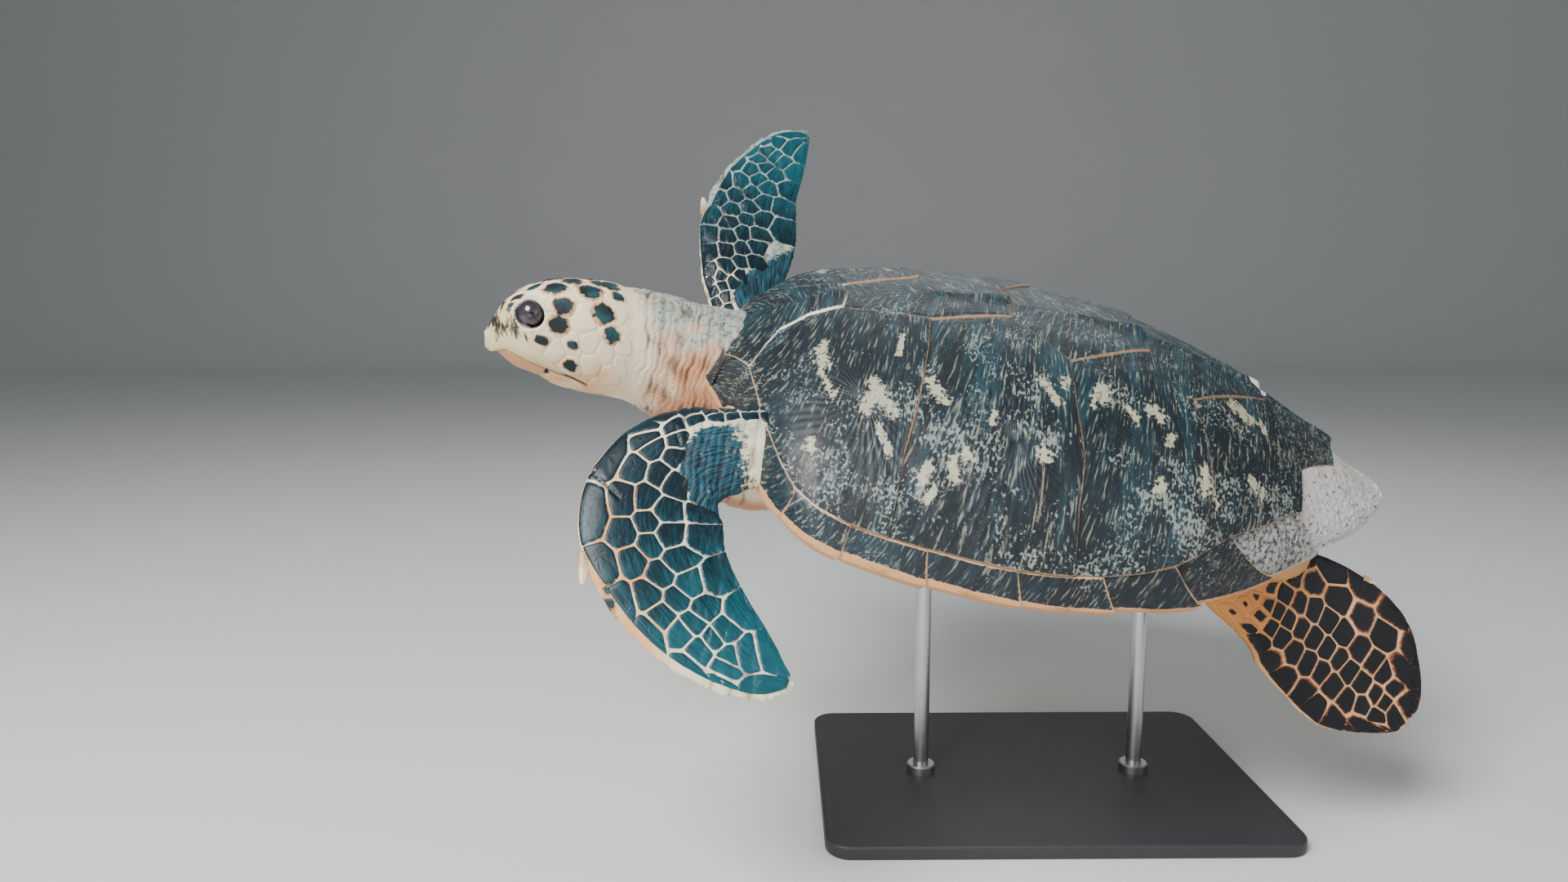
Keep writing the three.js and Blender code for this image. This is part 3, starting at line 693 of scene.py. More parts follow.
    def raise_patch(self, plate: Plate, patch: Patch, centre: Array, span: tuple,
                    number: int) -> bpy.types.Object:
        """Lays the patch on the shell with its relief and closes it below."""
        chart = np.vstack([patch.chart, centre])
        edge = np.append(patch.edge, patch.edge.max())
        turn = np.append(patch.angle, 0.0)
        base = SHELL.surface(chart)
        normal = self.rounded_rim(chart, surface_normals(SHELL.surface, chart, self.outward(chart, base)))
        along = (chart[:, 0] - span[0]) / (span[1] - span[0])
        height = self.relief(plate, base, edge, turn, along, number)
        base = self.toothed(plate, base, along)
        points = base + normal * height[:, None]
        kept = sorted({0, 3, *range(6, patch.rings - 1, 6), patch.rings - 1})
        below = patch.rows(kept)
        under = base[below] - normal[below] * self.thick
        under[:patch.around] = base[:patch.around] - normal[:patch.around] * self.lip_thick
        values = {
            "edge": edge, "along": along, "wear": np.full(len(edge), plate.wear),
            "spoke": self.grain(plate, chart, number), "body": base,
            "pale": self.pale_seam(plate, edge, base), "blot": self.blotches(chart),
            "rim": ease(np.abs(chart[:, 1]), *self.rim_band(chart[:, 0])), "girth": self.girth(plate, chart),
        }
        sheet = Sheet()
        sheet.slab(patch, kept, points, under, normal[0], values)
        return sheet.build("shell_" + plate.node, self.frame.place)

    @staticmethod
    def grain(plate: Plate, chart: Array, number: int) -> Array:
        """Millimetres across and along the growth streaks, which fan out from far behind the keel."""
        side = np.where(chart[:, 1] < 0, -1.0, 1.0)
        hub = np.array([120.0, -60.0] if plate.on_rim else [90.0, -260.0])
        offset = np.stack([chart[:, 0] - chart[:, 0].mean(), np.abs(chart[:, 1])], -1) - hub
        reach = np.linalg.norm(offset, axis=1)
        turn = np.arctan2(offset[:, 0], offset[:, 1])
        return np.stack([turn * side * 380, reach * 0.1, np.full(len(chart), number * 37.0)], -1)

    def blotches(self, chart: Array) -> Array:
        """Cream patches of both sides: 1 in the middle of one, 0 well outside."""
        spot = np.stack([chart[:, 0], np.abs(chart[:, 1])], -1)
        best = np.full(len(chart), -1.0)
        draw = np.random.default_rng(11)
        for _ in range(self.patches):
            start = np.array([draw.uniform(*self.patch_along), draw.uniform(*self.patch_out)])
            lean, reach = draw.uniform(0.9, 2.3), draw.uniform(*self.patch_length)
            end = start + reach * np.array([math.cos(lean), math.sin(lean)])
            gap = capsule_gap(spot, start, end)
            best = np.maximum(best, 1 - gap / draw.uniform(*self.patch_radius))
        return best

    @staticmethod
    def rim_band(x: Array) -> tuple[Array, Array]:
        """Where the pale border of the rim begins and is full, in chart millimetres from the keel."""
        width = np.interp(x, [-330, -200, -90, 40, 300], [19, 17, 12, 5, 3])
        return SHELL.chart_half - 1.5 * width, SHELL.chart_half - 0.8 * width

    @staticmethod
    def girth(plate: Plate, chart: Array) -> Array:
        """How densely a place is speckled: 0 at the keel, 1 low on the flank."""
        low = np.abs(chart[:, 1]) / SHELL.chart_half
        if not plate.on_rim:
            return low + 0.25 * ease(chart[:, 0], 40, 120) * (low > 0.3)
        return 0.1 + 0.5 * ease(chart[:, 0], -170, 0) + 0.25 * ease(chart[:, 0], 100, 200)

    @staticmethod
    def outward(chart: Array, base: Array) -> Array:
        """Rough outward direction of the shell: up on the back, down under the lip."""
        under = np.abs(chart[:, 1]) > SHELL.chart_half
        up = np.where(under, -1.0, 1.0)
        flare = np.where(under, 0.0, 0.8) * base[:, 1] / SHELL.half
        return np.stack([np.zeros(len(base)), flare, up], -1)

    @staticmethod
    def rounded_rim(chart: Array, normal: Array) -> Array:
        """Normals turned level where the chart folds over the rim."""
        share = np.exp(-(((np.abs(chart[:, 1]) - SHELL.chart_half) / 5) ** 2))[:, None]
        t = SHELL.station(chart[:, 0])
        slope = (SHELL.half_width(t + 0.004) - SHELL.half_width(t - 0.004)) / (0.008 * SHELL.length)
        level = unit(np.stack([-slope, np.sign(chart[:, 1]), 0 * slope], -1))
        return unit(normal * (1 - share) + level * share)

    @staticmethod
    def toothed(plate: Plate, base: Array, along: Array) -> Array:
        """Draws the rim in towards the front of a rear plate, which leaves a blunt tooth."""
        t = SHELL.station(base[:, 0])
        near = ease(np.abs(base[:, 1]) / np.maximum(SHELL.half_width(t), 1), 0.55, 1.0)
        inward = plate.tooth * (1 - ease(along, 0.0, 0.85)) * near
        return base - np.stack([inward * 0.35, np.sign(base[:, 1]) * inward, np.zeros(len(base))], -1)

    @staticmethod
    def relief(plate: Plate, base: Array, edge: Array, turn: Array, along: Array,
               number: int) -> Array:
        """Height of the plate's face over the shell surface."""
        wave_mm, grain_mm, pit_mm = 46, 11, 7
        ring_count, spoke_count = 0.95, 46
        rough = Ripple(number + 5, wave_mm)(base)
        fine = Ripple(number + 91, grain_mm)(base)
        lift = plate.rise * along ** 2.2 - 0.9 * (1 - along) ** 3
        rounding = -1.9 * np.exp(-edge / 1.3)
        growth = 0.22 * np.sin(edge * ring_count + rough * 1.4) * np.exp(-edge / 26)
        spokes = 0.14 * np.sin(turn * spoke_count + rough * 2) * ease(edge, 3, 14)
        keel = 0.0
        if plate.node.startswith("vertebral"):
            knob = 3.6 * np.exp(-((base[:, 1] / 13) ** 2)) * ease(along, 0.55, 0.97)
            ridge = 2.6 * np.exp(-np.abs(base[:, 1]) / 12) * ease(base[:, 0], -280, 200)
            keel = (knob + ridge) * ease(edge, 0, 5)
        pits = plate.wear * (0.5 * Ripple(number + 40, pit_mm)(base) - 0.5 * ease(fine, 0.5, 1.4))
        return lift + rounding + growth + spokes + keel + pits + 0.35 * rough + 0.1 * fine

    @staticmethod
    def pale_seam(plate: Plate, edge: Array, base: Array) -> Array:
        """White worn seam along the front edges of the first plates, and a bare knob on the keel."""
        knob = np.exp(-(((base[:, 0] - 196) / 13) ** 2) - (base[:, 1] / 15) ** 2)
        if not plate.pale_front:
            return ease(knob, 0.3, 0.6)
        return np.exp(-((edge / 2.1) ** 2)) * ease(-base[:, 0], 205, 240)


def dress(piece: bpy.types.Object, material: bpy.types.Material, finish: Finish, *nodes: str) -> None:
    """Gives a piece its material, body and the CAD nodes that it stands for."""
    piece.data.materials.clear()
    piece.data.materials.append(material)
    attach(piece, "root")
    if nodes:
        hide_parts(*nodes)


# ---------------------------------------------------------------- head, neck and limbs as forms

@dataclass(frozen=True)
class HeadForm:
    """Long narrow head with a hooked beak; a runs forwards from the nape."""

    nape: tuple = (-430.0, -8.0)
    yaw: float = math.radians(18)
    front: float = 137
    centre: Profile = Profile((-14, 56), (0, 61), (21, 68), (48, 72.5), (74, 76.5), (96, 80), (120, 79),
                              (137, 74))
    tall: Profile = Profile((-14, 60), (0, 58), (48, 56), (74, 52), (96, 41), (109, 36), (120, 27),
                            (130, 14), (137, 4))
    wide: Profile = Profile((-14, 45), (0, 45), (21, 45), (48, 42), (74, 37), (96, 32), (109, 24), (120, 16),
                            (137, 4))
    square: float = 2.3
    eye_a: float = 96
    eye_side: float = 17
    eye_z: float = 103
    eye_radius: float = 14
    unroll: float = 46

    @property
    def forward(self) -> Array:
        """Direction of the beak."""
        return np.array([-math.cos(self.yaw), -math.sin(self.yaw), 0.0])

    @property
    def left(self) -> Array:
        """Direction of the head's left side."""
        return np.array([math.sin(self.yaw), -math.cos(self.yaw), 0.0])

    def place(self, a: Array, left: Array, z: Array) -> Array:
        """Body points of places in the head."""
        a, left, z = np.broadcast_arrays(a, left, z)
        flat = np.array([*self.nape, 0.0]) + a[..., None] * self.forward + left[..., None] * self.left
        return flat + z[..., None] * np.array([0.0, 0.0, 1.0])

    def local(self, points: Array) -> tuple[Array, Array, Array]:
        """Places in the head of body points."""
        offset = points - np.array([*self.nape, 0.0])
        return offset @ self.forward, offset @ self.left, points[:, 2]

    def eye_centre(self, side: int) -> Array:
        """Middle of an eyeball, side 1 for the left."""
        return self.place(self.eye_a, side * self.eye_side, self.eye_z)

    def fullness(self, angle: Array) -> Array:
        """How far a squarish section reaches beyond a round one at an angle."""
        total = np.abs(np.cos(angle)) ** self.square + np.abs(np.sin(angle)) ** self.square
        return total ** (-1 / self.square)

    def skin(self, a: Array, angle: Array) -> Array:
        """Body points of the head's surface, angle 0 on the left and a quarter turn at the top."""
        full = self.fullness(angle)
        left = np.cos(angle) * full * self.wide(a)
        z = self.centre(a) + np.sin(angle) * full * self.tall(a)
        return self.place(a, left, z)

    def surface(self, chart: Array) -> Array:
        """Body points of chart points: distance before the nape, and arc from the crown to the left."""
        angle = math.pi / 2 - chart[:, 1] / self.unroll
        return self.skin(np.clip(chart[:, 0], -14, self.front - 0.5), angle)


HEAD = HeadForm()


def eye_axes(side: int) -> tuple[Array, Array, Array]:
    """Direction that an eye looks in, and the two across it."""
    look = unit(HEAD.left * side + np.array([0, 0, 0.16]) + HEAD.forward * 0.12)
    across = unit(np.cross(look, [0, 0, 1.0]))
    return look, across, np.cross(across, look)


@dataclass(frozen=True)
class Blade:
    """Cross sizes of a flipper along its length."""

    half: Profile
    thick: Profile


@dataclass(frozen=True)
class Limb:
    """A flipper about a curve in its own plane: a runs down the blade, b to its leading edge."""

    name: str
    root: tuple
    along: tuple
    lead: tuple
    line: tuple
    blade: Blade

    @property
    def axes(self) -> Array:
        """Rows: along the blade, to the leading edge, and out of the upper face."""
        along = unit(np.array(self.along))
        lead = np.array(self.lead) - along * np.dot(self.lead, along)
        lead = unit(lead)
        out = np.cross(lead, along)
        return np.array([along, lead, out if out[2] > 0 else -out])

    def path(self) -> Path:
        """Middle line of the blade in its plane."""
        return Path(self.line)

    def surface(self, path: Path, share: Array, angle: Array, grow: float = 0.0) -> Array:
        """Body points of the flipper's face, angle 0 at the leading edge."""
        centre = path.at(share)
        ahead = path.ahead(share)
        across = np.cos(angle) * (self.blade.half(share) + grow)
        full = 0.75 + 0.25 * np.cos(angle)
        up = np.sin(angle) * (self.blade.thick(share) * full + grow)
        a = centre[:, 0] - ahead[:, 1] * across
        b = centre[:, 1] + ahead[:, 0] * across
        return np.array(self.root) + np.stack([a, b, up], -1) @ self.axes

    def chart_surface(self, path: Path, upper: bool) -> Surface:
        """Surface over a chart of distance along and across the blade."""
        sign = 1.0 if upper else -1.0

        def surface(chart: Array) -> Array:
            """Body points of places along and across the blade."""
            share = np.clip(chart[:, 0] / path.length, 0, 0.995)
            w = np.clip(chart[:, 1] / self.blade.half(share), -0.999, 0.999)
            return self.surface(path, share, sign * np.arccos(w))
        return surface


FRONT_BLADE = Blade(
    Profile((0, 36), (0.18, 42), (0.34, 53), (0.48, 60), (0.62, 54), (0.78, 43), (0.92, 26), (1, 5)),
    Profile((0, 24), (0.2, 21), (0.4, 14), (0.6, 9), (0.85, 5), (1, 1.5)))
REAR_BLADE = Blade(
    Profile((0, 32), (0.16, 36), (0.235, 42), (0.37, 63), (0.485, 71), (0.62, 75), (0.705, 74), (0.79, 66),
            (0.865, 52), (0.92, 39), (0.96, 27), (1, 9)),
    Profile((0, 22), (0.25, 17), (0.5, 9), (0.8, 5), (1, 1.5)))
LIMBS = (
    Limb("front_flipper_left", (-321, -190, 49), (0.386, -0.738, -0.553), (-0.906, -0.415, -0.08),
         ((4, -62), (-2, -20), (2, 38), (32, 70), (78, 78), (124, 67), (164, 45), (192, 22), (206, 3)),
         FRONT_BLADE),
    Limb("front_flipper_right", (-321, 190, 49), (0.203, 0.819, 0.537), (-0.973, 0.109, 0.202),
         ((-66, -52), (-30, -14), (20, 12), (66, 24), (112, 33), (158, 39), (204, 34), (250, 24), (284, 8)),
         FRONT_BLADE),
    Limb("rear_flipper_left", (196, -135, -52), (0.86, -0.2, -0.47), (-0.42, -0.5, -0.6),
         ((-60, 12), (-20, 20), (30, 11), (80, 8), (130, 12), (172, 20), (200, 28)), REAR_BLADE),
    Limb("rear_flipper_right", (196, 135, -52), (0.9, 0.3, -0.3), (-0.2, 0.8, -0.3),
         ((-60, -8), (-20, 4), (30, 9), (80, 9), (130, 12), (172, 15), (196, 18)), REAR_BLADE),
)
NECK_LINE = Path([HEAD.place(-0.3, 0.0, 61.0), (-398, -2, 50), (-360, 0, 38), (-310, 0, 32), (-250, 0, 28)])
NECK_TALL = Profile((0, 58), (0.25, 65), (0.5, 68), (0.75, 68), (1, 60))
NECK_WIDE = Profile((0, 45), (0.25, 49), (0.5, 60), (0.75, 84), (1, 110))


def neck_skin(share: Array, angle: Array) -> Array:
    """Body points of the neck's surface, angle 0 on the left and a quarter turn at the top."""
    centre = NECK_LINE.at(share)
    yaw = HEAD.yaw * (1 - ease(share, 0, 0.35))
    full = HEAD.fullness(angle)
    left = np.cos(angle) * full * NECK_WIDE(share)
    up = np.sin(angle) * full * NECK_TALL(share)
    return centre + np.stack([np.sin(yaw) * left, -np.cos(yaw) * left, up], -1)


MOUTH = Profile((43, 33), (60, 43), (97, 57), (127, 66), (150, 66))
BELLY = Profile((0, 0.3), (0.12, 0.75), (0.3, 1), (0.65, 1), (0.85, 0.7), (1, 0.3))
INSIDE = 0.9
BELLY_TOP = 6
BELLY_DROP = 78


def mouth_gap(a: Array, z: Array) -> Array:
    """Height of a place in the head over the mouth line."""
    return z - MOUTH(np.clip(a, MOUTH.x[0], MOUTH.x[-1]))


def belly_height(t: Array, v: Array) -> Array:
    """Height of the belly's flesh, v being the share of its half width."""
    return SHELL.rim(t) - BELLY_TOP - BELLY_DROP * BELLY(t) * (1 - np.abs(v / INSIDE) ** 3.2) ** 0.9


@dataclass
class Skin:
    """One skin over trunk, neck, head, jaw, flippers and tail."""

    frame: BodyFrame
    voxel: float = 2.4 * MM
    fine: float = -110
    depth: float = 0.9
    under_shell: float = 11
    over_rim: float = 12
    shoulder: tuple = (-296, 128, 18, (54, 62, 46))
    hip: tuple = (186, 108, -34, (60, 48, 28))
    nodes: tuple = ("trunk", "neck", "head", "lower_jaw", "tail") + tuple(limb.name for limb in LIMBS)

    def build(self, material: bpy.types.Material) -> bpy.types.Object:
        """Joins the forms, remeshes them as one and folds the skin."""
        rough = self.forms().build("skin_rough", self.frame.place)
        modifier = rough.modifiers.new("join", "REMESH")
        modifier.mode = "VOXEL"
        modifier.voxel_size = self.voxel
        graph = bpy.context.evaluated_depsgraph_get()
        mesh = bpy.data.meshes.new_from_object(rough.evaluated_get(graph))
        bpy.data.objects.remove(rough)
        self.smooth(mesh, 26, lambda body, step: 0.5 * self.joint_weight(body) + (0.35 if step < 3 else 0.0))
        self.refine(mesh)
        self.smooth(mesh, 3, lambda body, step: 0.5 * ease(HEAD.local(body)[0], self.fine - 12, self.fine))
        body = self.read(mesh)
        normals = np.empty(len(mesh.vertices) * 3)
        mesh.vertices.foreach_get("normal", normals)
        outward = normals.reshape(-1, 3) @ self.frame.turn
        height = self.folds(body)
        body = body + outward * height[:, None]
        self.write(mesh, body)
        # Painted shade for the creases: deepest where the folds sink the skin most.
        add_values(mesh, {**body_markings(body), "crease": np.clip(-height, 0, 1.3) / 1.3})
        mesh.polygons.foreach_set("use_smooth", [True] * len(mesh.polygons))
        piece = link("turtle_skin", mesh)
        dress(piece, material, Finish.SKIN, *self.nodes)
        LOG.info("skin: %d points", len(body))
        return piece

    def read(self, mesh: bpy.types.Mesh) -> Array:
        """Points of a mesh in body millimetres."""
        points = np.empty(len(mesh.vertices) * 3)
        mesh.vertices.foreach_get("co", points)
        return self.frame.back(points.reshape(-1, 3))

    def write(self, mesh: bpy.types.Mesh, body: Array) -> None:
        """Moves a mesh's points to places in body millimetres."""
        mesh.vertices.foreach_set("co", self.frame.place(body).ravel())
        mesh.update()

    def refine(self, mesh: bpy.types.Mesh) -> None:
        """Halves the faces of the head and neck."""
        form = bmesh.new()
        form.from_mesh(mesh)
        near = HEAD.local(self.read(mesh))[0] > self.fine
        edges = [e for e in form.edges if near[e.verts[0].index] and near[e.verts[1].index]]
        bmesh.ops.subdivide_edges(form, edges=edges, cuts=1, use_grid_fill=True)
        form.to_mesh(mesh)
        form.free()

    def forms(self) -> Sheet:
        """Closed bodies that make up the flesh, sunk by the depth of the scales."""
        sheet = Sheet()
        sink = self.depth
        for rows, around, place in ((90, 96, self.sunk_head), (50, 96, neck_skin), (70, 72, self.trunk),
                                    (30, 32, self.tail)):
            loft(sheet, rows, around, place)
        for limb in LIMBS:
            loft(sheet, 120, 64, partial(limb.surface, limb.path(), grow=-sink * 0.5))
        for side in (-1, 1):
            for x, y, z, size in (self.shoulder, self.hip):
                loft(sheet, 24, 32, partial(self.muscle, (x, side * y, z), size))
        return sheet

    def sunk_head(self, share: Array, angle: Array) -> Array:
        """Head surface drawn in by the depth of the scales."""
        a = -6 + (HEAD.front - 1.5 + 6) * (1 - (1 - share) ** 1.4)
        surface = HEAD.skin(a, angle)
        middle = HEAD.place(a, 0.0 * a, HEAD.centre(a))
        inward = unit(middle - surface)
        return surface + inward * self.depth

    def trunk(self, share: Array, angle: Array) -> Array:
        """Flesh between the carapace and the plastron."""
        first, span, flat = 0.03, 0.9, 1e-6
        t = first + span * share
        v = np.cos(angle) * INSIDE
        top = SHELL.back(t, v) - self.under_shell
        z = np.where(np.sin(angle) > flat, top, belly_height(t, v))
        z = np.where(np.abs(np.sin(angle)) < flat, SHELL.rim(t) + self.over_rim, z)
        return np.stack([(t - 0.5) * SHELL.length, v * (SHELL.half_width(t) - 1), z], -1)

    @staticmethod
    def tail(share: Array, angle: Array) -> Array:
        """Short blunt tail."""
        line = Path([(230, 0, -34), (290, 0, -44), (338, 0, -52)])
        radius = 33 + (4 - 33) * share ** 0.8
        across, up = np.cos(angle) * radius, np.sin(angle) * radius * 0.75
        return line.at(share) + np.stack([0 * share, across, up], -1)

    @staticmethod
    def muscle(centre: tuple, size: tuple, share: Array, angle: Array) -> Array:
        """Rounded mass that carries a limb's root into the body."""
        ring = np.sin(math.pi * (0.01 + 0.98 * share))
        offset = np.stack([-np.cos(math.pi * share), np.cos(angle) * ring, np.sin(angle) * ring], -1)
        return np.array(centre) + offset * np.array(size)

    def smooth(self, mesh: bpy.types.Mesh, steps: int, weigh: Callable[[Array, int], Array]) -> None:
        """Draws each point towards its neighbours by a weight that depends on its place."""
        edges = np.empty(len(mesh.edges) * 2, dtype=np.int64)
        mesh.edges.foreach_get("vertices", edges)
        first, second = edges.reshape(-1, 2).T
        body = self.read(mesh)
        start = body.copy()
        degree = np.bincount(np.concatenate([first, second]), minlength=len(body))[:, None]
        for step in range(steps):
            total = np.zeros_like(body)
            for axis in range(3):
                total[:, axis] = np.bincount(first, body[second, axis], len(body))
                total[:, axis] += np.bincount(second, body[first, axis], len(body))
            body = body + (total / degree - body) * np.minimum(weigh(start, step), 0.5)[:, None]
        self.write(mesh, body)

    @staticmethod
    def joint_weight(body: Array) -> Array:
        """Near 1 at the neck's ends and the limb roots."""
        spots = ((-330, 0, 90, 90), (-300, -140, 40, 80), (-300, 140, 40, 80), (200, -130, -45, 70),
                 (200, 130, -45, 70), (-330, -80, 20, 80), (-330, 80, 20, 80), (-428, -8, 60, 34))
        weight = np.zeros(len(body))
        for x, y, z, reach in spots:
            gap = np.linalg.norm(body - np.array([x, y, z]), axis=1)
            weight = np.maximum(weight, 1 - ease(gap, reach * 0.45, reach))
        return weight

    def folds(self, body: Array) -> Array:
        """Height of wrinkles, lids, mouth line and sags over the smooth skin."""
        a, left, z = HEAD.local(body)
        height = self.neck_folds(body, a) + self.eye_folds(body)
        side = np.abs(left) > 4
        mouth = np.abs(mouth_gap(a, z))
        slit = np.exp(-((mouth / 1.1) ** 2)) * ease(a, 42, 50) * side
        lip = np.exp(-(((mouth - 3.4) / 2.2) ** 2)) * ease(a, 40, 52) * side
        height += -2.0 * slit + 0.5 * lip
        return height

    @staticmethod
    def neck_folds(body: Array, a: Array) -> Array:
        """Rings of loose skin round the neck, cobbled near the head and coarser at the armpits."""
        warp = Ripple(3, 70)(body) * 3.6 + Ripple(4, 24)(body) * 1.0
        run = -body[:, 0] + warp + 0.12 * body[:, 2]
        neck = ease(-a, -6, 16) * ease(-body[:, 0], 190, 300)
        close = ease(-body[:, 0], 285, 335)
        wide = np.abs(np.sin(run * math.pi / 15)) ** 0.6 - 0.6
        small = np.abs(np.sin(run * math.pi / 6.6 + 1.3 + 0.5 * Ripple(6, 20)(body))) ** 0.6 - 0.6
        level = body[:, 2] + Ripple(10, 14)(body) * 3
        cobble = np.abs(np.sin(level * math.pi / 5.5)) ** 0.5 - 0.7
        cobbled = cobble * ease(-body[:, 0], 370, 400)
        coarse = Ripple(8, 34)(body)
        return neck * (1.1 * wide + close * (1.15 * small + 0.45 * cobbled) + 0.7 * coarse)

    @staticmethod
    def eye_folds(body: Array) -> Array:
        """Sockets with a raised ring of lid around each eye."""
        height = np.zeros(len(body))
        for side in (1, -1):
            centre = HEAD.eye_centre(side)
            look = eye_axes(side)[0]
            offset = body - centre
            depth = offset @ look
            ring = np.linalg.norm(offset - depth[:, None] * look, axis=1)
            facing = ease(depth, -6, 2)
            above = ease(offset[:, 2], 0, 9)
            lid_ring, lid_width, socket_depth = 14.2, 2.2, 9.0
            height += facing * (1.0 + 1.6 * above) * np.exp(-(((ring - lid_ring + above) / lid_width) ** 2))
            height -= facing * socket_depth * (1 - ease(ring, 11.0, 12.8))
        return height


def limb_places(limb: Limb, body: Array) -> tuple[Array, Array, Array]:
    """Where body points lie on a flipper.

    Args:
        limb: The flipper.
        body: Points in body millimetres.

    Returns:
        Share of the length, place across from -1 at the trailing edge to 1 at the leading one, and
        a weight that is 0 away from the flipper.
    """
    path = limb.path()
    share = np.linspace(0, 1, 90)
    line = path.at(share)
    ahead = path.ahead(share)
    flat = (body - np.array(limb.root)) @ limb.axes.T
    near = np.zeros(len(body), dtype=np.int64)
    best = np.full(len(body), 1e18)
    for i, spot in enumerate(line):
        gap = (flat[:, 0] - spot[0]) ** 2 + (flat[:, 1] - spot[1]) ** 2
        better = gap < best
        near[better] = i
        best[better] = gap[better]
    offset = flat[:, :2] - line[near]
    half = limb.blade.half(share[near])
    across = (-offset[:, 0] * ahead[near, 1] + offset[:, 1] * ahead[near, 0]) / half
    past = ease(np.sqrt(best), half + 6, half + 22)
    weight = (1 - past) * (1 - ease(np.abs(flat[:, 2]), 26, 44)) * (near > 0)
    return share[near], np.clip(across, -1.2, 1.2), weight


def bare_skin(limb: Limb, share: Array, across: Array) -> Array:
    """Share of bare striped skin instead of scales at a place on a flipper."""
    if limb.blade is REAR_BLADE:
        return 1 - ease(share, 0.02, 0.07)
    return (1 - ease(share + 0.16 * across, 0.27, 0.33)) * (1 - ease(across, 0.3, 0.5))


# Large plates of one side of the head: mm before the nape, degrees up from the side, and darkness.
HEAD_PLATES = (
    (118, 62, 0.55), (108, 75, 0.5), (92, 90, 0.6), (92, 64, 0), (74, 72, 0.85), (57, 90, 0.8),
    (42, 68, 0.88), (30, 90, 0.75), (20, 84, 0.6), (16, 66, 0.5), (68, 45, 0.75), (73, 24, 0.72),
    (31, 42, 0.8), (24, 22, 0.6), (50, 30, 0), (45, 10, 0), (30, 2, 0), (60, 5, 0.4), (88, 4, 0.5),
    (75, -5, 0), (62, -18, 0.5), (42, -12, 0), (25, -20, 0), (104, 12, 0), (86, -37, 0.45), (70, -40, 0),
    (55, -45, 0), (38, -40, 0), (70, -68, 0), (48, -72, 0), (92, -68, 0), (14, 44, 0), (12, 12, 0),
    (14, -6, 0), (20, -50, 0))


def head_spots(body: Array) -> Array:
    """Dark hearts of the head's plates: 1 in the middle of one, falling to -1 far away."""
    a, left, z = HEAD.local(body)
    inside = np.clip(a, -14, HEAD.front - 2)
    turn = np.arctan2((z - HEAD.centre(inside)) / HEAD.tall(inside), np.abs(left) / HEAD.wide(inside))
    best = np.full(len(body), -1.0)
    for middle, angle, dark in HEAD_PLATES:
        if dark > 0:
            gap = np.hypot((a - middle) * 0.85, (turn - math.radians(angle)) * HEAD.unroll)
            best = np.maximum(best, 1 - gap / (13.5 * dark))
    return best


def body_markings(body: Array) -> dict[str, Array]:
    """Shared markings over the body.

    Args:
        body: Points in body millimetres.

    Returns:
        crown: grey-teal cast on top of the neck; blush: peach of the neck; fin: petrol blue of the
            bare front flipper skin; amber: the rear flippers, and warm: orange at their roots; lid: dark
            skin round the eyes; shade: painted shade along the mouth line; spot: dark patches of the head;
        lane: millimetres along and across a front flipper.
    """
    a, _, z = HEAD.local(body)
    mid = np.where(a > 0, HEAD.centre(np.clip(a, -14, 137)), np.interp(-body[:, 0], [310, 430], [32, 61]))
    up = (z - mid) / 60 + 0.16 * Ripple(21, 30)(body)
    neck = 1 - ease(a, -22, 12)
    ahead = ease(-body[:, 0], 150, 230)
    crown = 0.85 * ease(up, 0.2, 1.2) * ahead * neck
    back = 0.2 + ease(-a, -8, 75) + 0.4 * ease(-up, -0.2, 0.9) + 0.18 * Ripple(22, 30)(body)
    blush = neck * np.clip(back, 0.1, 1) * (1 - 0.7 * crown) * ahead
    fin, amber, warm = np.zeros((3, len(body)))
    lane = np.zeros((len(body), 3))
    for limb in LIMBS:
        share, across, weight = limb_places(limb, body)
        if limb.blade is FRONT_BLADE:
            fin = np.maximum(fin, weight * bare_skin(limb, share, across) * ease(share, 0.08, 0.2))
            blush = blush * (1 - weight * ease(share, 0.02, 0.1))
            near = (weight > 0)[:, None]
            lane = np.where(near, np.stack([share * 34, across * 50, 0 * share], -1), lane)
        else:
            amber = np.maximum(amber, weight)
            warm = np.maximum(warm, weight * (1 - ease(share, 0.2, 0.5)))
    root = ease(body[:, 0], 110, 170) * (1 - ease(body[:, 2], -16, 4))
    lid = np.zeros(len(body))
    for side in (1, -1):
        offset = body - HEAD.eye_centre(side)
        gap = np.linalg.norm(offset, axis=1)
        lid = np.maximum(lid, (1 - ease(gap, 14.8, 16.8)) * (1 - 0.85 * ease(offset[:, 2], 3, 11)))
    jowl = 0.8 * ease(-up, -0.2, 0.9) * ease(a, 4, 40) * (1 + 0.5 * Ripple(23, 26)(body))
    mouth = np.abs(mouth_gap(a, z))
    # Painted shade along the mouth slit.
    shade = np.exp(-((mouth / 1.3) ** 2)) * ease(a, 42, 48)
    warm = np.clip(np.maximum(warm, root * (1 - amber)) + jowl, 0, 1)
    return {"crown": crown, "blush": np.clip(blush, 0, 1), "fin": fin, "amber": np.maximum(amber, root),
            "warm": warm, "lid": lid, "shade": shade, "spot": head_spots(body), "lane": lane}


# ---------------------------------------------------------------- scales

def clipped(cell: Array, side: Array) -> Array:
    """Part of a convex cell where a distance given at its corners is not positive."""
    corners = []
    for i, here in enumerate(side):
        j = (i + 1) % len(side)
        if here <= 0:
            corners.append(cell[i])
        if (here <= 0) != (side[j] <= 0):
            mix = here / (here - side[j])
            corners.append(cell[i] + (cell[j] - cell[i]) * mix)
    return np.array(corners).reshape(-1, 2)


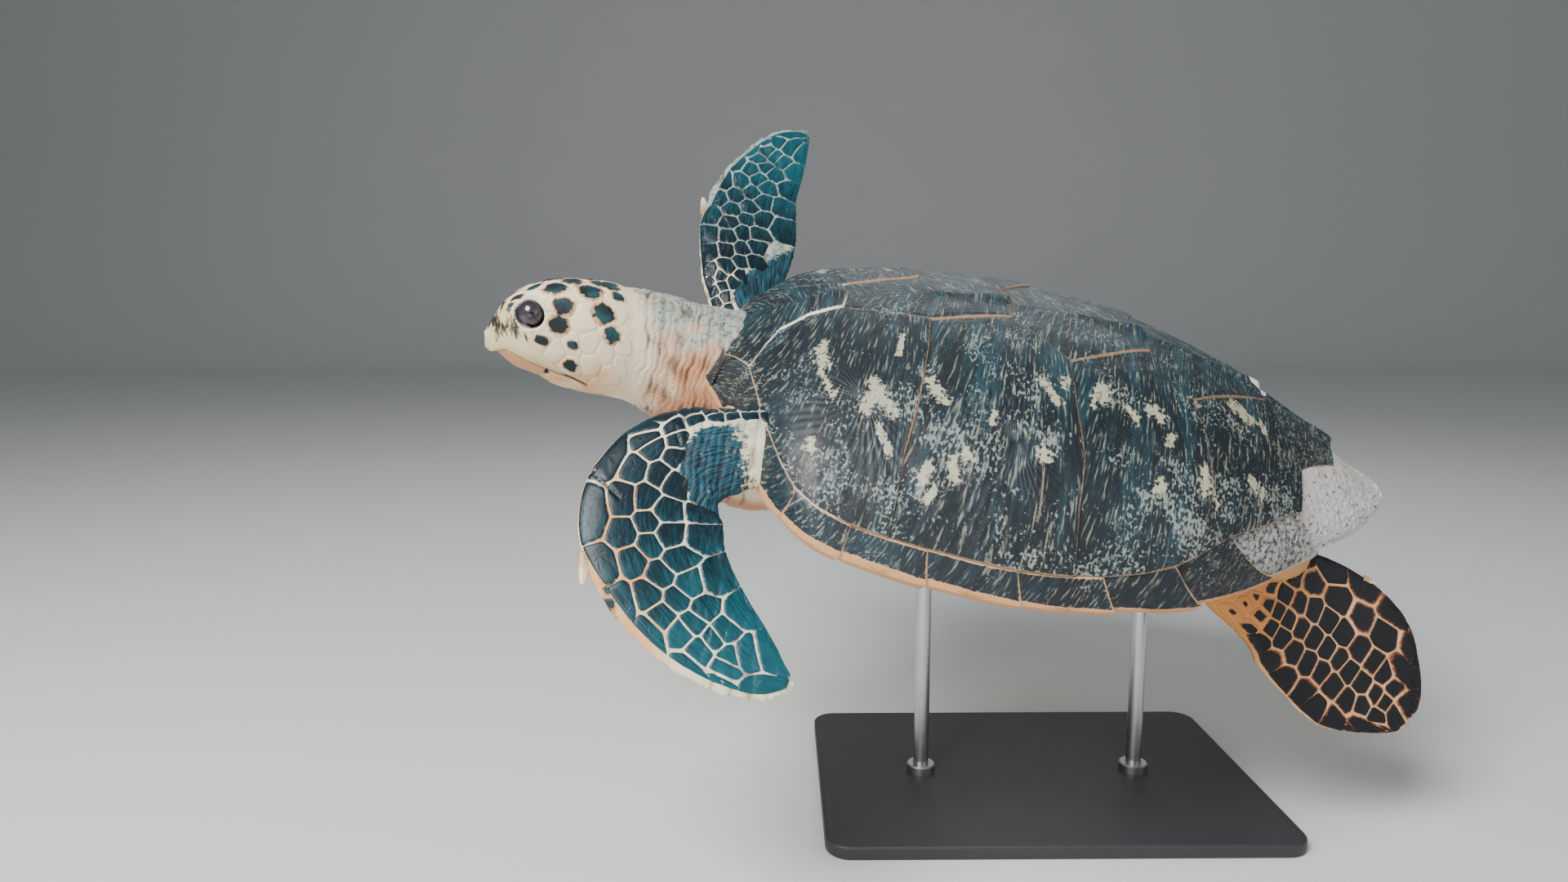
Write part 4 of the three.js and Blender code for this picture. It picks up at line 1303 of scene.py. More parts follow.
def voronoi_cell(seed: Array, others: Array, bound: Array) -> Array:
    """Corner points of the part of a bound nearer to a seed than to the others."""
    cell = bound
    for other in others:
        if len(cell) < 3:
            break
        side = (cell - (seed + other) / 2) @ (other - seed)
        cell = cell if (side < 0).all() else clipped(cell, side)
    return cell


def shrunk(outline: Array, inset: float) -> Array:
    """Convex outline moved inwards by a distance."""
    if signed_area(outline) < 0:
        outline = outline[::-1]
    cell = outline
    for a, b in zip(outline, np.roll(outline, -1, axis=0)):
        way = b - a
        length = float(np.linalg.norm(way))
        if len(cell) < 3 or length < 1e-6:
            continue
        normal = np.array([-way[1], way[0]]) / length
        cell = clipped(cell, -(cell - a - normal * inset) @ normal)
    return cell


@dataclass(frozen=True)
class Seed:
    """Place and look of one scale in its chart."""

    x: float
    y: float
    dark: float
    tone: float


@dataclass
class ScaleCoat:
    """Lays flat horny scales on the skin, cell by cell."""

    frame: BodyFrame
    skin: bpy.types.Object
    seam: float = 0.5
    depth: float = 1.15
    step: float = 1.7
    patch: float = 0.003
    reach: float = 9.0
    sunk: float = 0.6
    rim_width: float = 2.4

    def __post_init__(self) -> None:
        """Readies the skin for finding its points."""
        self.tree = BVHTree.FromObject(self.skin, bpy.context.evaluated_depsgraph_get())

    def land(self, points: Array, outward: Array) -> Array:
        """Body points dropped onto the skin along given directions."""
        start = self.frame.place(points + outward * self.reach)
        down = -(outward @ self.frame.turn.T)
        rows = []
        for origin, way, here in zip(start.tolist(), down.tolist(), self.frame.place(points)):
            hit = self.tree.ray_cast(origin, way, self.reach * 2 * MM)[0]
            rows.append(here if hit is None else hit)
        return self.frame.back(np.array([tuple(row) for row in rows]))

    def lay(self, sheet: Sheet, outline: Array, seed: Seed, surface: Surface, facing: Array,
            unwrap: Callable[[Array], Array], thick: float = 1.0) -> None:
        """Adds one scale.

        Args:
            sheet: The coat piece that it joins.
            outline: Corners in the chart.
            seed: Its look.
            surface: Body points of chart points.
            facing: Rough outward direction there.
            unwrap: Chart points to the whole skin's unwrap, for the bake map.
            thick: Share of the usual thickness.
        """
        ring = rounded(outline)
        if len(ring) < 3 or abs(signed_area(ring)) < 3.0:
            return
        centre = ring.mean(0)
        reach = float(np.linalg.norm(resample(ring, 32) - centre, axis=1).min())
        steps = np.array([0, 0.3, 0.75, 1.4, 2.4, 3.8, 5.6, 8, 11, 15, 20])
        shares = 1 - steps / max(reach, 1.0)
        shares = np.append(shares[shares > 0.3], [0.22] if reach > 3 else [])
        around = max(14, int(np.linalg.norm(ring - np.roll(ring, 1, axis=0), axis=1).sum() / self.step))
        patch = Patch.over(ring, centre, around, shares)
        chart = np.vstack([patch.chart, centre])
        edge = np.append(patch.edge, reach)
        share = np.append(patch.share, 0.0)
        base = surface(chart)
        outward = surface_normals(surface, chart, np.broadcast_to(facing, base.shape))
        base = self.land(base, outward)
        full = self.depth * thick * min(1.0, 0.35 + reach / 12)
        rise = np.sqrt(np.clip(1 - (1 - np.clip(edge / self.rim_width, 0, 1)) ** 2, 0, 1))
        dish = 0.12 * thick * np.sin(edge * 1.7)
        height = -0.5 + (full + 0.5) * rise + dish * rise
        top = base + outward * height[:, None]
        below = patch.rows([0])
        under = base[below] - outward[below] * self.sunk
        root = unwrap(centre[None])[0]
        spread = np.abs(chart - centre).max()
        bake = root + (chart - centre) / spread * self.patch / 2
        flow = (chart[:, 0] - centre[0]) / spread
        values = {"edge": edge, "core": 1 - share, "dark": np.full(len(edge), seed.dark),
                  "tone": np.full(len(edge), seed.tone), "flow": flow}
        sheet.slab(patch, [0], top, under, outward[0], values)
        sheet.bake += [bake, bake[below]]


@dataclass(frozen=True)
class ScaleRow:
    """A lengthwise row of scales on a flipper."""

    across: float
    spacing: float
    start: float
    end: float = 0.97
    slip: float = 0.0


FRONT_ROWS = (
    ScaleRow(0.8, 22, 0.3, 0.96), ScaleRow(0.86, 12.5, 0.06, 0.29), ScaleRow(0.6, 13, 0.05, 0.33, 0.4),
    ScaleRow(0.42, 17, 0.3, 0.9, 0.5), ScaleRow(0.33, 14, 0.1, 0.29, 0.1),
    ScaleRow(0.12, 18, 0.06, 0.86, 0.2), ScaleRow(-0.17, 21, 0.06, 0.9, 0.6),
    ScaleRow(-0.66, 31, 0.1, 0.95, 0.3))
REAR_ROWS = (
    ScaleRow(0.8, 19, 0.1, 0.95), ScaleRow(0.44, 15, 0.1, 0.93, 0.5), ScaleRow(0.14, 13, 0.1, 0.95, 0.2),
    ScaleRow(-0.18, 15, 0.12, 0.93, 0.6), ScaleRow(-0.52, 21, 0.14, 0.93, 0.1),
    ScaleRow(-0.86, 25, 0.2, 0.92, 0.4))


@dataclass
class FlipperScales:
    """Rows of polygonal scales on both faces of the flippers."""

    coat: ScaleCoat
    nearest: int = 16
    edge: float = 0.985
    band: float = 6.5
    reach: float = 36.0

    def build(self, materials: dict) -> None:
        """Makes one coat piece for each flipper."""
        for number, limb in enumerate(LIMBS):
            sheet = Sheet()
            for upper in (True, False):
                self.face(sheet, limb, upper, number * 2 + upper)
            sheet.mark(body_markings)
            piece = sheet.build("scales_" + limb.name, self.coat.frame.place)
            front = limb.blade is FRONT_BLADE
            dress(piece, materials["front scales" if front else "rear scales"], Finish.FLIPPER)
            LOG.info("%s: %d points", piece.name, sheet.count)

    @staticmethod
    def seeds(limb: Limb, length: float, draw: np.random.Generator) -> list[Seed]:
        """Jittered rows of seeds in the chart; the rear scales are dark beyond the orange root."""
        seeds = []
        front = limb.blade is FRONT_BLADE
        for row in FRONT_ROWS if front else REAR_ROWS:
            at = row.start * length + row.slip * row.spacing
            while at < row.end * length:
                half = float(limb.blade.half(at / length))
                y = (row.across + draw.uniform(-0.035, 0.035)) * half
                x = at + draw.uniform(-0.13, 0.13) * row.spacing
                beyond = float(ease(np.array(x / length), 0.1, 0.34))
                dark = 0.2 + 0.75 * beyond + draw.uniform(-0.12, 0.08)
                if half > 15 or abs(row.across) > 0.5:
                    seeds.append(Seed(x, y, 1.0 if front else dark, draw.uniform(0, 1)))
                narrow = half / float(limb.blade.half(0.5))
                at += row.spacing * (0.8 + 0.45 * min(narrow, 1.1)) * draw.uniform(0.86, 1.14)
        return seeds

    def face(self, sheet: Sheet, limb: Limb, upper: bool, number: int) -> None:
        """Adds the scales of one face."""
        draw = np.random.default_rng(300 + number)
        path = limb.path()
        surface = limb.chart_surface(path, upper)
        facing = limb.axes[2] * (1 if upper else -1)
        seeds = self.seeds(limb, path.length, draw)
        spots = np.array([(seed.x, seed.y) for seed in seeds])
        square = self.reach * np.array([(-1, -1), (1, -1), (1, 1), (-1, 1)])

        def unwrap(chart: Array) -> Array:
            """Upper and lower faces side by side, and a band for each flipper."""
            u = 0.02 + 0.46 * chart[:, 0] / path.length + (0.5 if upper else 0.0)
            v = 0.125 + 0.25 * LIMBS.index(limb) + chart[:, 1] / 640
            return np.stack([u, v], -1)

        for seed, spot in zip(seeds, spots):
            gap = np.linalg.norm(spots - spot, axis=1)
            others = spots[np.argsort(gap)[1:self.nearest]]
            cell = self.within(voronoi_cell(spot, others, spot + square), limb, path)
            if len(cell) < 3:
                continue
            cell = shrunk(cell, self.coat.seam * draw.uniform(0.7, 1.3))
            if len(cell) < 3:
                continue
            middle = cell.mean(0)
            place = middle[0] / path.length
            across = middle[1] / float(limb.blade.half(place))
            if bare_skin(limb, np.array(place), np.array(across)) > 0.5:
                continue
            self.coat.lay(sheet, cell, seed, surface, facing, unwrap)

    def within(self, cell: Array, limb: Limb, path: Path) -> Array:
        """Part of a cell inside the flipper's outline."""
        if len(cell) < 3:
            return cell
        dense = resample(cell, 48)
        share = np.clip(dense[:, 0] / path.length, 0.02, 0.985)
        half = limb.blade.half(share) * self.edge
        band = self.band * ease(share, 0.5, 0.58) if limb.blade is FRONT_BLADE else 1.2
        inside = np.stack([share * path.length, np.clip(dense[:, 1], -half, half - band)], -1)
        return convex(inside)


def convex(points: Array) -> Array:
    """Convex hull of points, counter-clockwise."""
    rows = points[np.lexsort((points[:, 1], points[:, 0]))]
    half = []
    for line in (rows, rows[::-1]):
        chain = []
        for p in line:
            while len(chain) > 1 and cross(chain[-2], chain[-1], p) <= 1e-9:
                chain.pop()
            chain.append(p)
        half += chain[:-1]
    return np.array(half).reshape(-1, 2)


def cross(a: Array, b: Array, c: Array) -> float:
    """Turn from a to b to c, positive to the left."""
    return float((b[0] - a[0]) * (c[1] - a[1]) - (b[1] - a[1]) * (c[0] - a[0]))


@dataclass
class HeadScales:
    """Large plates of the head and the beads round its eyes."""

    coat: ScaleCoat
    eye_gap: float = 17.5
    bead_count: int = 24
    bead_ring: float = 15.9
    bead_size: float = 1.75

    def build(self, material: bpy.types.Material) -> None:
        """Makes the head's coat piece."""
        sheet = Sheet()
        self.plates(sheet)
        self.beads(sheet)
        sheet.mark(body_markings)
        piece = sheet.build("scales_head", self.coat.frame.place)
        dress(piece, material, Finish.SKIN)
        LOG.info("%s: %d points", piece.name, sheet.count)

    @staticmethod
    def unwrap(chart: Array) -> Array:
        """Bake map of the head: length against arc."""
        return np.stack([0.1 + chart[:, 0] / 190, 0.5 + chart[:, 1] / 330], -1)

    def chart_spots(self) -> tuple[Array, list[Seed]]:
        """Seeds of both sides in the head's chart."""
        spots, seeds = [], []
        draw = np.random.default_rng(17)
        for a, angle, _ in HEAD_PLATES:
            arc = math.radians(90 - angle) * HEAD.unroll
            for sign in ((1, -1) if abs(arc) > 0.5 else (1,)):
                spots.append((a, arc * sign))
                seeds.append(Seed(a, arc * sign, 0.0, draw.uniform(0, 1)))
        for arc in np.arange(-150, 151, 15.0):
            spots.append((draw.uniform(-6, 5), arc + draw.uniform(-4, 4)))
        return np.array(spots), seeds

    def plates(self, sheet: Sheet) -> None:
        """Adds the large plates, clear of the eyes and the beak."""
        spots, seeds = self.chart_spots()
        low, high = HEAD.unroll * -math.pi * 0.97, HEAD.unroll * math.pi * 0.97
        box = np.array([(-4.0, low), (126.0, low), (126.0, high), (-4.0, high)])
        for spot, seed in zip(spots, seeds):
            others = np.delete(spots, np.where((spots == spot).all(1))[0], axis=0)
            near = others[np.argsort(np.linalg.norm(others - spot, axis=1))[:14]]
            cell = voronoi_cell(spot, near, box)
            if len(cell) < 3:
                continue
            cell = self.clear(shrunk(cell, 0.5))
            if len(cell) < 3 or abs(signed_area(cell)) < 20:
                continue
            middle = HEAD.surface(cell.mean(0)[None])[0]
            axis = HEAD.place(np.array(cell[:, 0].mean()), 0.0, HEAD.centre(cell[:, 0].mean()))
            self.coat.lay(sheet, cell, seed, HEAD.surface, unit(middle - axis), self.unwrap, 0.55)

    def clear(self, cell: Array) -> Array:
        """Cell pushed clear of the eyes, the gape and the beak."""
        dense = resample(cell, 60)
        points = HEAD.surface(dense)
        a, _, z = HEAD.local(points)
        keep = np.ones(len(dense), dtype=bool)
        for side in (1, -1):
            keep &= np.linalg.norm(points - HEAD.eye_centre(side), axis=1) > self.eye_gap
        mouth = mouth_gap(a, z)
        above = np.median(mouth) > 0
        keep &= (mouth > 2.2) if above else ((mouth < -2.2) | (a < 42))
        keep &= (a < Beak.back_edge(z) - 1.0) if above else (a < 91)
        return convex(dense[keep]) if keep.sum() > 8 else np.empty((0, 2))

    def beads(self, sheet: Sheet) -> None:
        """Adds small scales along the lower and rear rim of each eyelid."""
        for side in (1, -1):
            look, across, up = eye_axes(side)
            for i in range(self.bead_count):
                turn = i * 2 * math.pi / self.bead_count
                way = across * math.cos(turn) + up * math.sin(turn)
                if way[2] < 0.5:
                    tangent = up * math.cos(turn) - across * math.sin(turn)
                    spot = HEAD.eye_centre(side) + way * self.bead_ring + look * HEAD.eye_radius / 2
                    self.bead(sheet, spot, tangent, i)

    def bead(self, sheet: Sheet, spot: Array, tangent: Array, number: int) -> None:
        """Adds one low dome on the skin nearest to a place, longer along the lid than across it."""
        rings, around = 5, 14
        hit, normal = self.coat.tree.find_nearest(self.coat.frame.place(spot[None])[0].tolist())[:2]
        base = self.coat.frame.back(np.array([tuple(hit)]))[0]
        rise = unit(np.array(tuple(normal)) @ self.coat.frame.turn)
        way = unit(np.cross(rise, tangent))
        ring, turn = circles(rings, around, math.pi / 2)
        lift = np.sin(ring)
        disc = np.stack([np.cos(turn), np.sin(turn)], -1) * np.cos(ring)[:, None]
        size = self.bead_size + 0.3 * math.sin(number * 2.4)
        step = way * disc[:, :1] + 1.15 * tangent * disc[:, 1:]
        points = base + step * size + rise * (lift * 1.3 - 0.5)[:, None]
        sheet.add(points, grid_faces(rings, around, True), edge=lift * 2, core=lift, dark=lift * 0,
                  tone=lift * 0, flow=lift * 0)
        cap = fan(np.arange(around), 0, True)[1:-1]
        sheet.faces.append(cap + sheet.count - len(points))
        root = self.unwrap(np.array([[HEAD.eye_a, 40.0 * math.copysign(1, spot[1])]]))[0]
        sheet.bake.append(root + disc * self.coat.patch / 2 + number * 0.004)


# ---------------------------------------------------------------- beak, eyes and claws

@dataclass
class Beak:
    """Horn sheaths of the upper and lower jaws, the upper one hooked."""

    frame: BodyFrame
    rows: int = 56
    around: int = 120
    proud: float = 0.7
    hook: float = 7.5

    BACK = Profile((50, 62), (66, 96), (84, 110), (102, 118))
    UPPER_BACK = Profile((0, 66), (0.06, 84), (0.16, 101), (0.3, 113), (0.5, 118))
    LOWER_BACK = Profile((0, 84), (0.2, 89), (0.5, 94))

    @classmethod
    def back_edge(cls, z: Array) -> Array:
        """How far forward the upper horn starts at a height."""
        return cls.BACK(z)

    @staticmethod
    def mouth_angle(a: Array, shift: float) -> Array:
        """Angle of the head's section at the mouth line, moved up by a shift."""
        height = (MOUTH(a) + shift - HEAD.centre(a)) / HEAD.tall(a)
        height = np.clip(height, -0.97, 0.97)
        width = (1 - np.abs(height) ** HEAD.square) ** (1 / HEAD.square)
        return np.arctan2(height, width)

    def sheath(self, upper: bool) -> Sheet:
        """Closed shell of one sheath, from its back edge to the tip."""
        rows, around = self.rows, self.around
        run, turn = np.meshgrid(np.linspace(0, 1, rows), np.linspace(0, 1, around), indexing="ij")
        fold = np.minimum(turn, 1 - turn)
        back = self.UPPER_BACK(fold) if upper else self.LOWER_BACK(fold)
        tip = 138.0 if upper else 130.0
        a = back + (tip - back) * (1 - (1 - run) ** 1.5)
        low = self.mouth_angle(a, 0.7 if upper else -0.7)
        if upper:
            angle = low + turn * (math.pi - 2 * low)
        else:
            angle = low - turn * (math.pi + 2 * low)
        a, angle = a.ravel(), angle.ravel()
        outer = HEAD.skin(a, angle)
        middle = HEAD.place(a, 0 * a, HEAD.centre(a))
        outward = unit(outer - middle)
        lip = ease(fold.ravel(), 0.0, 0.05)
        rim = ease(run.ravel(), 0.0, 0.06)
        outer = outer + outward * (self.proud * rim)[:, None]
        hook = ease(a, 118, 136) * (1 - ease(fold.ravel(), 0.0, 0.42)) if upper else 0 * a
        outer = outer - np.array([0, 0, 1.0]) * (hook * self.hook)[:, None]
        inner = outer - outward * (2.4 + 1.2 * lip)[:, None]
        sheet = Sheet()
        values = {"run": run.ravel(), "fold": fold.ravel(), "upper": np.full(len(a), float(upper))}
        faces = grid_faces(rows, around, False)
        sheet.add(outer, faces if upper else faces[:, ::-1], **values)
        sheet.add(inner, faces[:, ::-1] if upper else faces, **values)
        rim_line = np.concatenate([np.arange(around), np.arange(1, rows) * around + around - 1,
                                   (rows - 1) * around + np.arange(around - 2, -1, -1),
                                   np.arange(rows - 2, 0, -1) * around])
        sheet.faces.append(wall(rim_line, len(a), not upper))
        return sheet

    def build(self, material: bpy.types.Material) -> None:
        """Makes both sheaths."""
        for upper, node in ((True, "upper_beak"), (False, "lower_beak")):
            piece = self.sheath(upper).build("horn_" + node, self.frame.place)
            dress(piece, material, Finish.BEAK, node)
        LOG.info("beak: two sheaths")


@dataclass
class Eyes:
    """Glossy eyeballs with a bulging cornea."""

    frame: BodyFrame
    rows: int = 56
    around: int = 72
    bulge: float = 1.0

    def build(self, material: bpy.types.Material) -> None:
        """Makes both eyeballs."""
        for side, label in ((1, "left"), (-1, "right")):
            look, across, up = eye_axes(side)
            polar, turn = circles(self.rows, self.around, math.pi)
            radius = (HEAD.eye_radius - 0.9) + self.bulge * np.exp(-((polar / 0.55) ** 2))
            offset = (across * np.cos(turn)[:, None] + up * np.sin(turn)[:, None]) * np.sin(polar)[:, None]
            points = HEAD.eye_centre(side) + (offset + look * np.cos(polar)[:, None]) * radius[:, None]
            sheet = Sheet()
            faces = grid_faces(self.rows, self.around, True)
            wheel = np.stack([np.cos(turn) * 3, np.sin(turn) * 3, polar * 0.6], -1)
            sheet.add(points, faces, polar=polar, wheel=wheel)
            piece = sheet.build("eyeball_" + label, self.frame.place)
            weld(piece)
            dress(piece, material, Finish.EYE, "eye_" + label)
        LOG.info("eyes: two")


def weld(piece: bpy.types.Object) -> None:
    """Merges points that lie on each other and turns the faces out."""
    form = bmesh.new()
    form.from_mesh(piece.data)
    bmesh.ops.remove_doubles(form, verts=form.verts, dist=1e-6)
    bmesh.ops.dissolve_degenerate(form, edges=form.edges, dist=1e-7)
    bmesh.ops.recalc_face_normals(form, faces=form.faces)
    form.to_mesh(piece.data)
    form.free()
    piece.data.polygons.foreach_set("use_smooth", [True] * len(piece.data.polygons))


@dataclass
class Claws:
    """One curved claw on an edge of each flipper, the leading one in front."""

    frame: BodyFrame
    rows: int = 26
    around: int = 28

    def build(self, material: bpy.types.Material) -> None:
        """Makes the four claws."""
        for limb in LIMBS:
            share, size, edge = (0.52, 24.0, 1) if limb.blade is FRONT_BLADE else (0.56, 14.0, -1)
            sheet = Sheet()
            loft(sheet, self.rows, self.around, partial(self.claw, limb, share, size, edge))
            run = circles(self.rows, self.around)[0]
            sheet.values["run"] = [np.concatenate([run, [0.0, 1.0]])]
            node = "claw_" + limb.name.replace("flipper_", "")
            piece = sheet.build("horn_" + node, self.frame.place)
            weld(piece)
            dress(piece, material, Finish.CLAW, node)
        LOG.info("claws: four")

    @staticmethod
    def claw(limb: Limb, share: float, size: float, edge: int, u: Array, angle: Array) -> Array:
        """Body points of a claw that lies along the flipper's edge and sweeps towards its tip."""
        path = limb.path()
        centre = path.at(np.array(share))
        ahead = path.ahead(np.array(share))
        side = np.array([-ahead[1], ahead[0]])
        radius = 0.29 * size * np.sqrt(np.clip(1 - 0.93 * u, 0.02, 1))
        out = edge * (float(limb.blade.half(share)) - size * (0.2 - 0.3 * u) + np.cos(angle) * radius)
        sweep = size * 1.08 * u
        a = centre[0] + side[0] * out + ahead[0] * sweep
        b = centre[1] + side[1] * out + ahead[1] * sweep
        return np.array(limb.root) + np.stack([a, b, np.sin(angle) * radius * 0.55], -1) @ limb.axes


# ---------------------------------------------------------------- plastron and stand

@dataclass
class Plastron:
    """Pale belly shield of six pairs of scutes."""

    frame: BodyFrame
    layer: float = 7.2
    thick: float = 4.0
    around: int = 160
    rounding: float = 1.6
    ridge: float = 0.15

    HALF = Profile((0.1, 0.1), (0.2, 0.17), (0.4, 0.185), (0.6, 0.175), (0.75, 0.13), (0.86, 0.05))
    SEAMS = (0.1, 0.17, 0.27, 0.4, 0.56, 0.72, 0.86)

    def surface(self, chart: Array) -> Array:
        """Body points of the belly's face."""
        t = SHELL.station(chart[:, 0])
        v = np.clip(chart[:, 1] / SHELL.half_width(t), -INSIDE, INSIDE)
        return np.stack([chart[:, 0], chart[:, 1], belly_height(t, v) - self.layer], -1)

    def outline(self, low: float, high: float, sign: int) -> Array:
        """One scute between two stations."""
        t = np.linspace(low, high, 14)
        bow = 0.012 * np.sin(np.linspace(0, math.pi, 7))
        outer = np.stack([(t - 0.5) * SHELL.length, self.HALF(t) * SHELL.length], -1)
        y_high = np.linspace(float(self.HALF(high)), 0.0, 7)
        y_low = np.linspace(0.0, float(self.HALF(low)), 7)
        rear = np.stack([(high + bow - 0.5) * SHELL.length, y_high * SHELL.length], -1)
        front = np.stack([(low + bow[::-1] - 0.5) * SHELL.length, y_low * SHELL.length], -1)
        ring = np.vstack([outer, rear[1:], front[:-1]])
        return ring * np.array([1, sign])

    def build(self, material: bpy.types.Material) -> None:
        """Makes the shield as one piece."""
        sheet = Sheet()
        pairs = [(low, high, sign) for low, high in zip(self.SEAMS, self.SEAMS[1:]) for sign in (1, -1)]
        for number, (low, high, sign) in enumerate(pairs, 1):
            self.scute(sheet, resample(self.outline(low, high, sign), self.around), number)
        piece = sheet.build("belly_shield", self.frame.place)
        dress(piece, material, Finish.PLASTRON, "plastron")
        LOG.info("plastron: %d scutes", len(pairs))

    def scute(self, sheet: Sheet, ring: Array, number: int) -> None:
        """Adds one scute with rounded edges and faint growth ridges."""
        centre = ring.mean(0)
        reach = float(np.linalg.norm(ring - centre, axis=1).mean())
        steps = np.concatenate([[0, 0.5, 1.1, 2, 3.2, 5], np.arange(8, reach, 4.5)])
        patch = Patch.over(ring, centre, self.around, 1 - steps / reach)
        chart = np.vstack([patch.chart, centre])
        edge = np.append(patch.edge, reach)
        spoke = np.append(patch.angle, 0.0)
        base = self.surface(chart)
        normal = surface_normals(self.surface, chart, np.array([0, 0, -1.0]))
        height = -self.rounding * np.exp(-edge / 1.2) + self.ridge * np.sin(edge * 0.8)
        values = {"edge": edge, "body": base,
                  "spoke": np.stack([np.cos(spoke) * 8, np.sin(spoke) * 8, edge * 0.02 + number], -1)}
        sheet.slab(patch, range(patch.rings), base + normal * height[:, None], base - normal * self.thick,
                   normal[0], values)


@dataclass
class Stand:
    """Weighted base plate with two steel rods in collars."""

    corner: float = 24 * MM
    bevel: float = 3 * MM
    rod_radius: float = 8 * MM
    collar_radius: float = 15 * MM
    collar_height: float = 9 * MM
    collar_bevel: float = 1.2 * MM
    fillet: float = 0.6 * MM
    corner_steps: int = 12
    around: int = 64

    def build(self, base_material: bpy.types.Material, rod_material: bpy.types.Material) -> None:
        """Makes the base, the rods and their collars."""
        self.base(base_material)
        for label in ("front", "rear"):
            self.rod(label, rod_material)
        LOG.info("stand: base and two rods")

    def base(self, material: bpy.types.Material) -> None:
        """Base plate with rounded corners and bevelled edges."""
        low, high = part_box("stand_base")
        form = bmesh.new()
        ring = []
        for sx, sy, first in ((1, 1, 0), (-1, 1, 1), (-1, -1, 2), (1, -1, 3)):
            cx = (high.x if sx > 0 else low.x) - sx * self.corner
            cy = (high.y if sy > 0 else low.y) - sy * self.corner
            for i in range(self.corner_steps + 1):
                turn = (first + i / self.corner_steps) * math.pi / 2
                x, y = cx + self.corner * math.cos(turn), cy + self.corner * math.sin(turn)
                ring.append(form.verts.new((x, y, low.z)))
        face = form.faces.new(ring)
        made = bmesh.ops.extrude_face_region(form, geom=[face])
        top = [v for v in made["geom"] if isinstance(v, bmesh.types.BMVert)]
        bmesh.ops.translate(form, verts=top, vec=(0, 0, high.z - low.z))
        bmesh.ops.recalc_face_normals(form, faces=form.faces)
        edges = [e for e in form.edges if abs(e.verts[0].co.z - e.verts[1].co.z) < 1e-6]
        bmesh.ops.bevel(form, geom=edges, offset=self.bevel, segments=5, profile=0.5, affect="EDGES")
        mesh = bpy.data.meshes.new("display_base")
        form.to_mesh(mesh)
        form.free()
        mesh.shade_smooth()
        mesh.set_sharp_from_angle(angle=math.radians(35))
        piece = link("display_base", mesh)
        dress(piece, material, Finish.BASE, "stand_base")

    def rod(self, label: str, material: bpy.types.Material) -> None:
        """Round rod with a stepped collar at its foot."""
        low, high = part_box("stand_rod_" + label)
        x, y = (low.x + high.x) / 2, (low.y + high.y) / 2
        r, collar, top = self.rod_radius, self.collar_radius, self.collar_height
        profile = [(0, 0), (collar, 0), (collar, top - self.collar_bevel), (collar - self.collar_bevel, top),
                   (r + self.fillet, top), (r, top - self.fillet), (r, top + 4 * MM), (r, high.z - low.z),
                   (0, high.z - low.z)]
        turn = np.arange(self.around) * 2 * math.pi / self.around
        rows = [np.stack([x + q * np.cos(turn), y + q * np.sin(turn), np.full(self.around, low.z + h)], -1)
                for q, h in profile]
        faces = grid_faces(len(profile), self.around, True)
        piece = add_mesh("display_rod_" + label, np.vstack(rows), faces, {})
        weld(piece)
        piece.data.set_sharp_from_angle(angle=math.radians(30))
        dress(piece, material, Finish.ROD, "stand_rod_" + label)


# ---------------------------------------------------------------- finishes

MIX_A = 6
MIX_B = 7
MIX_COLOUR = 2
VALUE = 2
VECTOR = 1
PER_METRE = 1000
SOFT = {"interpolation_type": "SMOOTHSTEP"}
Socket = bpy.types.NodeSocket
AddNode = Callable[..., Socket]
Patterns = dict[str, Socket]


def add_node(tree: bpy.types.NodeTree, kind: str, links: dict, out: int | str = 0,
             **settings: object) -> Socket:
    """Adds one shader node.

    Args:
        tree: Node tree of the material.
        kind: Node type without its ShaderNode prefix.
        links: Inputs by name or number, each a socket, a plain value or a hex colour.
        out: Name or number of the output to return.
        settings: Properties of the node.

    Returns:
        The chosen output.
    """
    made = tree.nodes.new("ShaderNode" + kind)
    for key, value in settings.items():
        setattr(made, key, value)
    wire(tree, made, links)
    return made.outputs[out]


def wire(tree: bpy.types.NodeTree, made: bpy.types.Node, links: dict) -> None:
    """Links or sets inputs of a node."""
    for key, value in links.items():
        if isinstance(value, bpy.types.NodeSocket):
            tree.links.new(value, made.inputs[key])
        else:
            made.inputs[key].default_value = linear(value) if isinstance(value, str) else value


@dataclass(frozen=True)
class Layer:
    """A colour laid over those below it where a weighted sum of patterns rises.

    The sum runs from low, where nothing shows, to high, where the colour has its full share. A gate is
    one more pattern that the share is multiplied by.
    """

    colour: str | Socket
    weights: dict[str, float] = field(default_factory=dict)
    low: float = 0.0
    high: float = 1.0
    full: float = 1.0
    soft: bool = True
    gate: str = ""
    blend: str = "MIX"


def layered(node: AddNode, patterns: Patterns, base: str | Socket, *layers: Layer) -> Socket:
    """Lays colours over a base one by one.

    Args:
        node: Adds a node to the material's tree.
        patterns: Sockets that the layers name.
        base: Colour below them all.
        layers: What is laid over it, the lowest first.

    Returns:
        The colour.
    """
    colour = base
    for layer in layers:
        share = layer.full
        if layer.weights:
            total = 0.0
            for key, weight in layer.weights.items():
                total = node("Math", {0: patterns[key], 1: weight, 2: total}, operation="MULTIPLY_ADD")
            span = {"Value": total, "From Min": layer.low, "From Max": layer.high, "To Max": layer.full}
            share = node("MapRange", span, **(SOFT if layer.soft else {}))
        if layer.gate:
            share = node("Math", {0: share, 1: patterns[layer.gate]}, operation="MULTIPLY")
        colour = node("Mix", {0: share, MIX_A: colour, MIX_B: layer.colour}, MIX_COLOUR,
                      data_type="RGBA", blend_type=layer.blend)
    return colour


